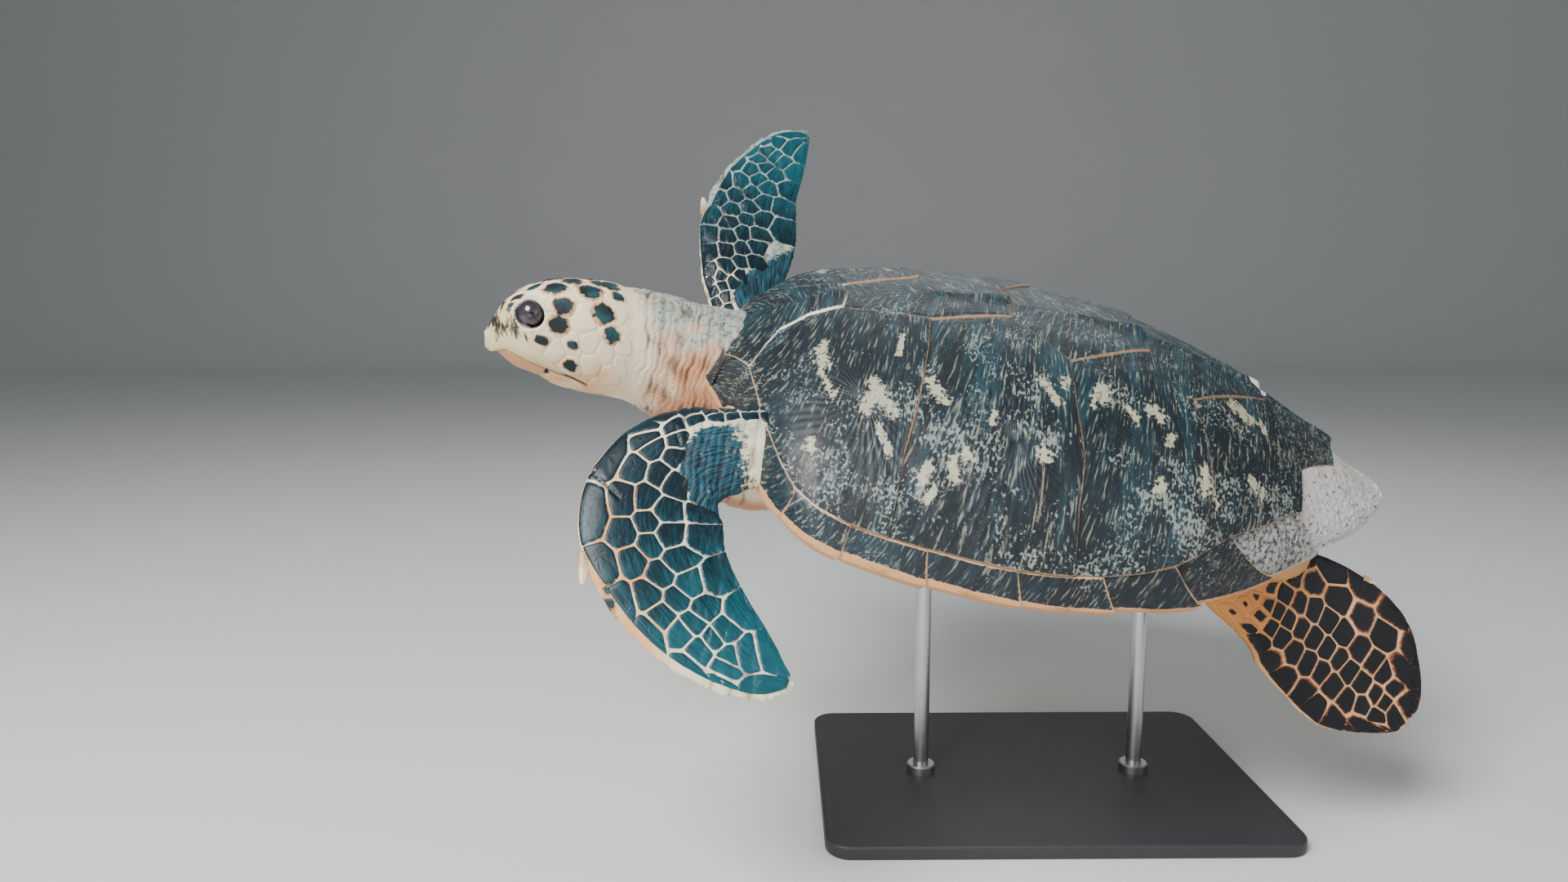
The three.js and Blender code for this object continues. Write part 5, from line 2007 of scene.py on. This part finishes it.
class Coating:
    """A finish whose subclass works out the inputs of the surface shader."""

    name: str

    def inputs(self, node: AddNode) -> dict[str, object]:
        """Inputs of the surface shader, node being what adds a node to the material."""
        raise NotImplementedError

    def material(self) -> bpy.types.Material:
        """Builds the node material."""
        material = bpy.data.materials.new(self.name)
        material.use_nodes = True
        tree = material.node_tree
        wire(tree, tree.nodes["Principled BSDF"], self.inputs(partial(add_node, tree)))
        return material


@dataclass(frozen=True)
class TortoiseshellScute(Coating):
    """Keratin plate of a live hawksbill's back, grown in layers and never polished.

    Radial streaks give the dark ground its silky grain, and cream flames break through it.
    """

    name: str
    ground: str = "#0f191f"
    # Teal of the keratin; on the back plates it is laid strongest toward the keel as painted light from
    # above.
    cast: str = "#1b3f49"
    flame: str = "#bdb89c"
    dust: str = "#98a29a"
    rim: str = "#cf9a6a"
    seam: str = "#a98468"
    worn: str = "#cdcac5"
    pit: str = "#43352f"
    bare: str = "#e9e2d3"
    streak_mm: float = 2.0
    speckle_mm: float = 1.9
    speckle_stretch: float = 4.7
    cloud_mm: float = 40.0
    band_mm: float = 100 / 7
    chip_mm: float = 50 / 11
    density: float = 0.13

    def inputs(self, node: AddNode) -> dict[str, object]:
        """Streaked ground, speckles, flames, a pale border, wear and seams, and a low relief."""
        names = ("edge", "rim", "wear", "pale", "blot", "girth")
        found = {key: node("Attribute", {}, VALUE, attribute_name=key) for key in names}
        spoke, body = (node("Attribute", {}, VECTOR, attribute_name=key) for key in ("spoke", "body"))
        short = node("Mapping", {"Vector": spoke, "Scale": (1.0, self.speckle_stretch, 1.0)})
        for key, vector, size, detail in (
                ("streak", spoke, self.streak_mm, 3.0), ("band", spoke, self.band_mm, 3.0),
                ("cloud", body, self.cloud_mm, 4.0), ("speck", short, self.speckle_mm, 2.5)):
            found[key] = node("TexNoise", {"Vector": vector, "Scale": 1 / size, "Detail": detail})
        links = {"Vector": body, "Scale": 1 / self.chip_mm, "Detail": 4.0, "Roughness": 0.65}
        chip = node("TexNoise", links)
        found["chip"] = chip
        colour = layered(
            node, found, self.ground,
            # Teal over the dark ground: partly the keratin's own streaked tone, partly painted light from
            # above, since the back plates get more of it at the keel than low on the flanks.
            Layer(self.cast, {"streak": 1, "band": 1, "girth": -0.22}, 0.78, 1.28),
            Layer(self.flame, {"streak": 1}, 0.56, 0.68, 0.34),
            Layer(self.dust, {"speck": 1, "girth": self.density, "cloud": 0.9}, 1.13, 1.23, 0.65),
            Layer(self.flame, {"blot": 1, "chip": 2.7, "streak": 0.9}, 2.28, 2.52, 0.78),
            Layer(self.rim, {"rim": 1, "band": 0.9, "streak": 0.7}, 1.32, 1.5),
            Layer(self.worn, {"chip": 1, "wear": 0.9}, 0.8, 1.1),
            Layer(self.pit, {"chip": 1}, 0.56, 0.66, gate="wear"),
            Layer(self.seam, {"edge": 1, "chip": 4.0}, 4.6, 3.2, 0.85),
            Layer(self.bare, {"pale": 1, "chip": 0.8}, 0.75, 0.95))
        relief = node("Math", {0: found["streak"], 1: chip}, operation="ADD")
        return {"Base Color": colour, "IOR": 1.5, "Coat Weight": 0.04, "Coat Roughness": 0.35,
                "Roughness": node("MapRange", {"Value": chip, "To Min": 0.38, "To Max": 0.62}),
                "Normal": node("Bump", {"Strength": 0.4, "Distance": 0.6 * MM, "Height": relief})}


@dataclass(frozen=True)
class TurtleSkin(Coating):
    """Loose leathery reptile skin: peach on the neck, petrol blue on the fins, with painted shade in its
    folds.
    """

    name: str = "Leathery skin"
    plain: str = "#e9dabb"
    blush: str = "#bd8862"
    crown: str = "#8b9c99"
    fleck: str = "#2a4a50"
    spot: str = "#081a20"
    sheen: str = "#15464d"
    fringe: str = "#b98246"
    orange: str = "#d9934e"
    fin: str = "#1a5364"
    fin_dark: str = "#0a212c"
    amber: str = "#d6a678"
    # Colour of the painted shade in the skin's creases.
    lid: str = "#2f2c36"
    crease: str = "#6b5548"
    # Colour of the painted shade in the gape.
    gape: str = "#5a3a2c"
    relief: float = 0.5
    pebble_mm: float = 3.4
    pore_mm: float = 1.3
    fray_mm: float = 5.0
    streak_mm: float = 2.0
    cloud_mm: float = 200 / 11

    def inputs(self, node: AddNode) -> dict[str, object]:
        """Shared body markings over pebbled skin, with painted shade darkening its creases."""
        place = node("TexCoord", {}, "Object")
        names = ("crown", "blush", "fin", "amber", "warm", "lid", "shade", "spot", "crease")
        found = {key: node("Attribute", {}, VALUE, attribute_name=key) for key in names}
        lane = node("Attribute", {}, VECTOR, attribute_name="lane")
        for key, vector, scale, detail in (("cloud", place, PER_METRE / self.cloud_mm, 4.0),
                                           ("streak", lane, 1 / self.streak_mm, 3.0),
                                           ("fray", place, PER_METRE / self.fray_mm, 4.0)):
            found[key] = node("TexNoise", {"Vector": vector, "Scale": scale, "Detail": detail})
        pebble, tint, pore = (node("TexVoronoi", {"Vector": place, "Scale": PER_METRE / size}, out)
                              for size, out in ((self.pebble_mm, 0), (self.pebble_mm, 1), (self.pore_mm, 0)))
        found["tint"] = node("SeparateColor", {0: tint})
        middle = node("MapRange", {"Value": pebble, "From Min": 0.62, "From Max": 0.42}, **SOFT)
        span = {"Value": found["crown"], "From Min": 0.15, "From Max": 0.8, "To Max": 0.6}
        where = node("MapRange", span, **SOFT)
        found["pebbled crown"] = node("Math", {0: middle, 1: where}, operation="MULTIPLY")
        fin = layered(node, found, self.fin_dark, Layer(self.fin, {"streak": 1}, 0.4, 0.62))
        dark = layered(node, found, self.spot, Layer(self.sheen, {"cloud": 1}, 0.4, 0.7))
        light = node("MapRange", {"Value": found["cloud"], "To Min": 0.86, "To Max": 1.1})
        colour = layered(
            node, found, self.plain,
            Layer(self.blush, {"blush": 1}, soft=False),
            Layer(self.crown, {"crown": 1}, soft=False),
            Layer(self.fleck, {"tint": 1}, 0.55, 0.7, gate="pebbled crown"),
            Layer(fin, {"fin": 1, "fray": 1.4, "streak": 1.0}, 1.5, 1.9),
            Layer(self.amber, {"amber": 1}, soft=False),
            Layer(self.orange, {"warm": 1}, full=0.85, soft=False),
            Layer(self.fringe, {"spot": 1, "fray": 0.9}, 0.38, 0.64, 0.85),
            Layer(dark, {"spot": 1, "fray": 0.9}, 0.64, 0.76),
            # Painted shade: creases darkened by how deep each fold sinks the skin.
            Layer(self.crease, {"crease": 1}, full=0.9, soft=False, blend="MULTIPLY"),
            Layer(self.lid, {"lid": 1}, soft=False),
            # Painted shade along the mouth line.
            Layer(self.gape, {"shade": 1}, soft=False, blend="MULTIPLY"),
            Layer(light, blend="MULTIPLY"))
        height = node("Math", {0: pebble, 1: pore}, operation="ADD")
        bump = node("Bump", {"Strength": self.relief, "Distance": 0.7 * MM, "Height": height}, invert=True)
        return {"Base Color": colour, "IOR": 1.42, "Normal": bump,
                "Roughness": node("MapRange", {"Value": found["cloud"], "To Min": 0.48, "To Max": 0.68})}


@dataclass(frozen=True)
class HornyScale(Coating):
    """Thin keratin scale over skin: a dark heart that frays into a pale margin."""

    name: str
    heart: str
    sheen: str
    margin: str
    halo: str
    ochre: str = "#cf8a48"
    grain_mm: float = 2.2
    fray_mm: float = 50 / 13
    streak_mm: float = 5 / 3

    def inputs(self, node: AddNode) -> dict[str, object]:
        """Dark heart with streaks along the flipper, a halo and a frayed pale margin."""
        place = node("TexCoord", {}, "Object")
        names = ("core", "dark", "tone", "flow", "warm")
        found = {key: node("Attribute", {}, VALUE, attribute_name=key) for key in names}
        lane = node("Attribute", {}, VECTOR, attribute_name="lane")
        reach = node("SeparateXYZ", {0: lane})
        found["far"] = node("MapRange", {"Value": reach, "From Min": 12.0, "From Max": 30.0}, **SOFT)
        found["streak"] = node("TexNoise", {"Vector": lane, "Scale": 1 / self.streak_mm, "Detail": 3.0})
        links = {"Vector": place, "Scale": PER_METRE / self.fray_mm, "Detail": 4.0, "Roughness": 0.6}
        found["fray"] = node("TexNoise", links)
        grain = node("TexNoise", {"Vector": place, "Scale": PER_METRE / self.grain_mm, "Detail": 3.0})
        dark = layered(node, found, self.heart,
                       Layer(self.sheen, {"far": 1, "flow": 0.2, "tone": 0.4, "streak": 2.4}, 1.2, 3.0))
        inside = {"core": 1, "dark": 1.1, "fray": 0.34}
        colour = layered(node, found, self.margin, Layer(self.halo, inside, 1.08, 1.24),
                         Layer(self.ochre, {"warm": 1}, soft=False), Layer(dark, inside, 1.2, 1.34))
        return {"Base Color": colour, "IOR": 1.4,
                "Roughness": node("MapRange", {"Value": found["fray"], "To Min": 0.3, "To Max": 0.5}),
                "Normal": node("Bump", {"Strength": 0.25, "Distance": 0.4 * MM, "Height": grain})}


@dataclass(frozen=True)
class BeakHorn(Coating):
    """Solid keratin of the beak, worn smooth by feeding, with brown growth streaks."""

    name: str = "Beak horn"
    pale: str = "#d9c89b"
    streak: str = "#33261f"
    lower: str = "#c88b55"
    lip: str = "#b0814f"
    streak_mm: float = 20 / 3
    fine_mm: float = 10 / 7

    def inputs(self, node: AddNode) -> dict[str, object]:
        """Pale upper horn with brown streaks along it, a darker lower one and a tan lip."""
        place = node("TexCoord", {}, "Object")
        names = ("run", "fold", "upper")
        found = {key: node("Attribute", {}, VALUE, attribute_name=key) for key in names}
        long = node("Mapping", {"Vector": place, "Scale": (1.0, 1.0, 0.3)})
        links = {"Vector": long, "Scale": PER_METRE / self.streak_mm, "Detail": 4.0, "Roughness": 0.6}
        found["streak"] = node("TexNoise", links)
        fine = node("TexNoise", {"Vector": long, "Scale": PER_METRE / self.fine_mm, "Detail": 2.0})
        middle = node("MapRange", {"Value": found["run"], "From Min": 0.85, "From Max": 0.55}, **SOFT)
        clear = node("MapRange", {"Value": found["fold"], "From Min": 0.05, "From Max": 0.14}, **SOFT)
        found["middle"] = node("Math", {0: middle, 1: clear}, operation="MULTIPLY")
        colour = layered(node, found, self.lower, Layer(self.pale, {"upper": 1}, soft=False),
                         Layer(self.streak, {"streak": 1, "middle": 0.21}, 0.66, 0.78, gate="upper"),
                         Layer(self.lip, {"fold": 1}, 0.07, 0.0, 0.45))
        return {"Base Color": colour, "IOR": 1.54, "Coat Weight": 0.2,
                "Roughness": node("MapRange", {"Value": fine, "To Min": 0.3, "To Max": 0.48}),
                "Normal": node("Bump", {"Strength": 0.3, "Distance": 0.5 * MM, "Height": fine})}


@dataclass(frozen=True)
class WetEye(Coating):
    """Lacquered eyeball: near-black pupil in a dark plum iris with faint rings and rays."""

    name: str = "Lacquered eye"
    pupil: str = "#0b090c"
    iris: str = "#2b2330"
    ray: str = "#52444f"
    rim: str = "#2a242c"
    rings: float = 62.0

    def inputs(self, node: AddNode) -> dict[str, object]:
        """Pupil, iris and rim by the angle from the eye's axis, under a clear coat."""
        found = {"polar": node("Attribute", {}, VALUE, attribute_name="polar")}
        wheel = node("Attribute", {}, VECTOR, attribute_name="wheel")
        found["rays"] = node("TexNoise", {"Vector": wheel, "Scale": 4.0, "Detail": 3.0})
        ring = node("Math", {0: found["polar"], 1: self.rings}, operation="MULTIPLY")
        found["ring"] = node("Math", {0: ring}, operation="SINE")
        iris = layered(node, found, self.iris, Layer(self.ray, {"rays": 1, "ring": 0.16}, 0.35, 0.8))
        colour = layered(node, found, self.pupil, Layer(iris, {"polar": 1}, 0.24, 0.36),
                         Layer(self.rim, {"polar": 1}, 0.72, 0.95))
        return {"Base Color": colour, "Roughness": 0.18, "IOR": 1.38, "Coat Weight": 1.0,
                "Coat Roughness": 0.04}


@dataclass(frozen=True)
class ClawHorn(Coating):
    """Translucent-looking claw horn, tan at the root and ivory at the point."""

    name: str = "Claw horn"
    root: str = "#a98763"
    point: str = "#dccbb0"
    grain_mm: float = 2.0

    def inputs(self, node: AddNode) -> dict[str, object]:
        """Tan to ivory along the claw."""
        found = {"run": node("Attribute", {}, VALUE, attribute_name="run")}
        place = node("TexCoord", {}, "Object")
        links = {"Vector": place, "Scale": PER_METRE / self.grain_mm, "Detail": 3.0}
        found["fine"] = node("TexNoise", links)
        colour = layered(node, found, self.root, Layer(self.point, {"run": 1, "fine": 0.3}, 0.3, 1.0))
        return {"Base Color": colour, "Roughness": 0.36,
                "Normal": node("Bump", {"Strength": 0.2, "Distance": 0.4 * MM, "Height": found["fine"]})}


@dataclass(frozen=True)
class BellyScute(Coating):
    """Waxy cream keratin of the belly with faint growth lines and amber seams."""

    name: str = "Belly keratin"
    cream: str = "#d9cba4"
    amber: str = "#b98f5c"
    streak_mm: float = 5 / 12
    cloud_mm: float = 100 / 3

    def inputs(self, node: AddNode) -> dict[str, object]:
        """Cream with streaks that thicken to amber at the seams."""
        found = {"edge": node("Attribute", {}, VALUE, attribute_name="edge")}
        spoke, body = (node("Attribute", {}, VECTOR, attribute_name=key) for key in ("spoke", "body"))
        found["streak"] = node("TexNoise", {"Vector": spoke, "Scale": 1 / self.streak_mm, "Detail": 3.0})
        cloud = node("TexNoise", {"Vector": body, "Scale": 1 / self.cloud_mm, "Detail": 4.0})
        found["seam"] = node("MapRange", {"Value": found["edge"], "From Min": 7.0, "From Max": 0.4}, **SOFT)
        colour = layered(node, found, self.cream, Layer(self.amber, {"seam": 1, "streak": 0.5}, 0.3, 1.2))
        return {"Base Color": colour, "IOR": 1.52,
                "Roughness": node("MapRange", {"Value": cloud, "To Min": 0.34, "To Max": 0.52}),
                "Normal": node("Bump", {"Strength": 0.25, "Distance": 0.5 * MM, "Height": found["streak"]})}


@dataclass(frozen=True)
class PowderCoat(Coating):
    """Powder-coated steel plate: fine orange-peel texture that scatters its highlight."""

    name: str = "Powder-coated steel"
    colour: str = "#2b2d30"
    peel_mm: float = 1.6
    dust_mm: float = 500 / 7

    def inputs(self, node: AddNode) -> dict[str, object]:
        """Dark coat, faintly dusty, over a fine peel."""
        place = node("TexCoord", {}, "Object")
        peel = node("TexNoise", {"Vector": place, "Scale": PER_METRE / self.peel_mm, "Detail": 2.0})
        dust = node("TexNoise", {"Vector": place, "Scale": PER_METRE / self.dust_mm, "Detail": 4.0})
        light = node("MapRange", {"Value": dust, "To Min": 0.85, "To Max": 1.2})
        return {"Base Color": layered(node, {}, self.colour, Layer(light, blend="MULTIPLY")),
                "Roughness": node("MapRange", {"Value": dust, "To Min": 0.46, "To Max": 0.6}),
                "Normal": node("Bump", {"Strength": 0.25, "Distance": 0.3 * MM, "Height": peel})}


@dataclass(frozen=True)
class TurnedSteel(Coating):
    """Stainless rod turned on a lathe: fine rings round it spread the highlight."""

    name: str = "Turned stainless steel"
    colour: str = "#c3c5c7"
    ring_mm: float = 1.2
    smudge_mm: float = 25.0

    def inputs(self, node: AddNode) -> dict[str, object]:
        """Bare metal with rings round its axis and smudges."""
        place = node("TexCoord", {}, "Object")
        flat = node("Mapping", {"Vector": place, "Scale": (0.02, 0.02, 1.0)})
        rings = node("TexNoise", {"Vector": flat, "Scale": PER_METRE / self.ring_mm, "Detail": 2.0})
        smudge = node("TexNoise", {"Vector": place, "Scale": PER_METRE / self.smudge_mm, "Detail": 3.0})
        tint = node("MapRange", {"Value": rings, "To Min": 0.86, "To Max": 1.05})
        return {"Base Color": layered(node, {}, self.colour, Layer(tint, blend="MULTIPLY")), "Metallic": 1.0,
                "Roughness": node("MapRange", {"Value": smudge, "To Min": 0.24, "To Max": 0.38}),
                "Normal": node("Bump", {"Strength": 0.15, "Distance": 0.2 * MM, "Height": rings})}


@dataclass(frozen=True)
class StudioPaper(Coating):
    """Seamless studio paper, matt and pale."""

    name: str = "Studio paper"
    colour: str = "#d6d7d6"
    cloud_mm: float = 1000 / 3

    def inputs(self, node: AddNode) -> dict[str, object]:
        """Matt paper with the faintest clouding."""
        place = node("TexCoord", {}, "Object")
        tooth = node("TexNoise", {"Vector": place, "Scale": PER_METRE / self.cloud_mm, "Detail": 3.0})
        light = node("MapRange", {"Value": tooth, "To Min": 0.985, "To Max": 1.015})
        colour = layered(node, {}, self.colour, Layer(light, blend="MULTIPLY"))
        return {"Base Color": colour, "Roughness": 0.9}


# ---------------------------------------------------------------- studio

@dataclass(frozen=True)
class Studio:
    """Pale floor, soft lights and the camera."""

    frame: BodyFrame
    lens: float = 24.375
    sensor: float = 36.0
    spot: tuple = (-292.3, -982.9, 478.4)
    right: tuple = (0.994, 0.0279, 0.1055)
    up: tuple = (-0.1065, 0.4595, 0.8818)
    room_colour: str = "#dfe6ea"
    room_strength: float = 0.24
    LIGHTS = (("key", (-1.3, -1.7, 2.3), 1.4, 150.0), ("fill", (1.9, -1.5, 1.1), 2.0, 12.0),
              ("rim", (0.6, 1.7, 2.1), 1.6, 12.0), ("low", (-0.5, -1.4, 0.16), 1.2, 7.0))

    def build(self) -> None:
        """Makes the floor, the lights and the camera."""
        self.floor()
        for name, place, size, power in self.LIGHTS:
            self.light(name, place, size, power)
        world = bpy.data.worlds.new("soft room")
        world.use_nodes = True
        glow = world.node_tree.nodes["Background"]
        wire(world.node_tree, glow, {"Color": self.room_colour, "Strength": self.room_strength})
        bpy.context.scene.world = world
        self.camera()

    def floor(self) -> None:
        """Floor that curves up into a backdrop well behind the model."""
        half, front, back, radius, height, steps = 9.0, -7.0, 6.0, 1.6, 6.0, 24
        turn = np.linspace(0, math.pi / 2, steps)
        line = [(front, 0.0)] + [(back + radius * math.sin(t), radius * (1 - math.cos(t))) for t in turn]
        line += [(back + radius, height)]
        points = np.array([(x, y, z) for y, z in line for x in (-half, half)])
        cloth = add_mesh("studio_floor", points, grid_faces(len(line), 2, False), {})
        cloth.data.materials.append(StudioPaper().material())
        cloth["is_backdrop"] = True

    def light(self, name: str, place: tuple, size: float, power: float) -> None:
        """Square area light that faces the shell."""
        lamp = bpy.data.lights.new("light_" + name, "AREA")
        lamp.size = size
        lamp.energy = power
        piece = link("light_" + name, lamp)
        target = Vector(self.frame.origin)
        piece.location = Vector(place)
        piece.rotation_euler = (target - Vector(place)).to_track_quat("-Z", "Y").to_euler()

    def camera(self) -> None:
        """Camera at the diver's viewpoint."""
        lens = bpy.data.cameras.new("camera")
        lens.lens = self.lens
        lens.sensor_width = self.sensor
        lens.clip_start = 0.02
        piece = link("camera", lens)
        turn = self.frame.turn
        right = unit(turn @ np.array(self.right))
        up = turn @ np.array(self.up)
        up = unit(up - right * np.dot(up, right))
        back = np.cross(right, up)
        pose = Matrix(np.column_stack([right, up, back]).tolist()).to_4x4()
        pose.translation = Vector(self.frame.place(np.array(self.spot))[0])
        piece.matrix_world = pose
        bpy.context.scene.camera = piece


def finishes() -> dict:
    """Materials of every piece, by slot or by name."""
    rim = {"ground": "#0b141b", "cast": "#18303a", "seam": "#d2ab86", "density": 0.0}
    worn = {"ground": "#23282c", "cast": "#4b5458", "rim": "#b7aa94", "seam": "#c9a68a", "density": 0.1}
    coatings = {
        Finish.SCUTE: TortoiseshellScute("Tortoiseshell keratin"),
        Finish.RIM: TortoiseshellScute("Tortoiseshell rim keratin", **rim),
        Finish.WORN: TortoiseshellScute("Bleached rim keratin", **worn),
        Finish.PLASTRON: BellyScute(), Finish.SKIN: TurtleSkin(), Finish.BEAK: BeakHorn(),
        Finish.EYE: WetEye(), Finish.CLAW: ClawHorn(), Finish.BASE: PowderCoat(), Finish.ROD: TurnedSteel(),
        "front scales": HornyScale("Front flipper scales", "#081b24", "#135661", "#e3d8c2", "#a9cdd0"),
        "rear scales": HornyScale("Rear flipper scales", "#08090e", "#20242c", "#dcb48a", "#7c4426"),
        "head scales": TurtleSkin("Head keratin", relief=0.15),
    }
    return {key: coating.material() for key, coating in coatings.items()}


def main() -> None:
    """Builds the model piece by piece."""
    body = BodyFrame()
    Studio(body).build()
    made = finishes()
    Carapace(body).build(made)
    skin = Skin(body).build(made[Finish.SKIN])
    coat = ScaleCoat(body, skin)
    FlipperScales(coat).build(made)
    HeadScales(coat).build(made["head scales"])
    Beak(body).build(made[Finish.BEAK])
    Eyes(body).build(made[Finish.EYE])
    Claws(body).build(made[Finish.CLAW])
    Plastron(body).build(made[Finish.PLASTRON])
    Stand().build(made[Finish.BASE], made[Finish.ROD])
    {"cad": plain(CAD_BOX), "visual": plain(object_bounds())}


def plain(box: object) -> list:
    """A box as plain lists of numbers."""
    return [[float(n) for n in corner] for corner in box]


if __name__ == "__main__":
    main()
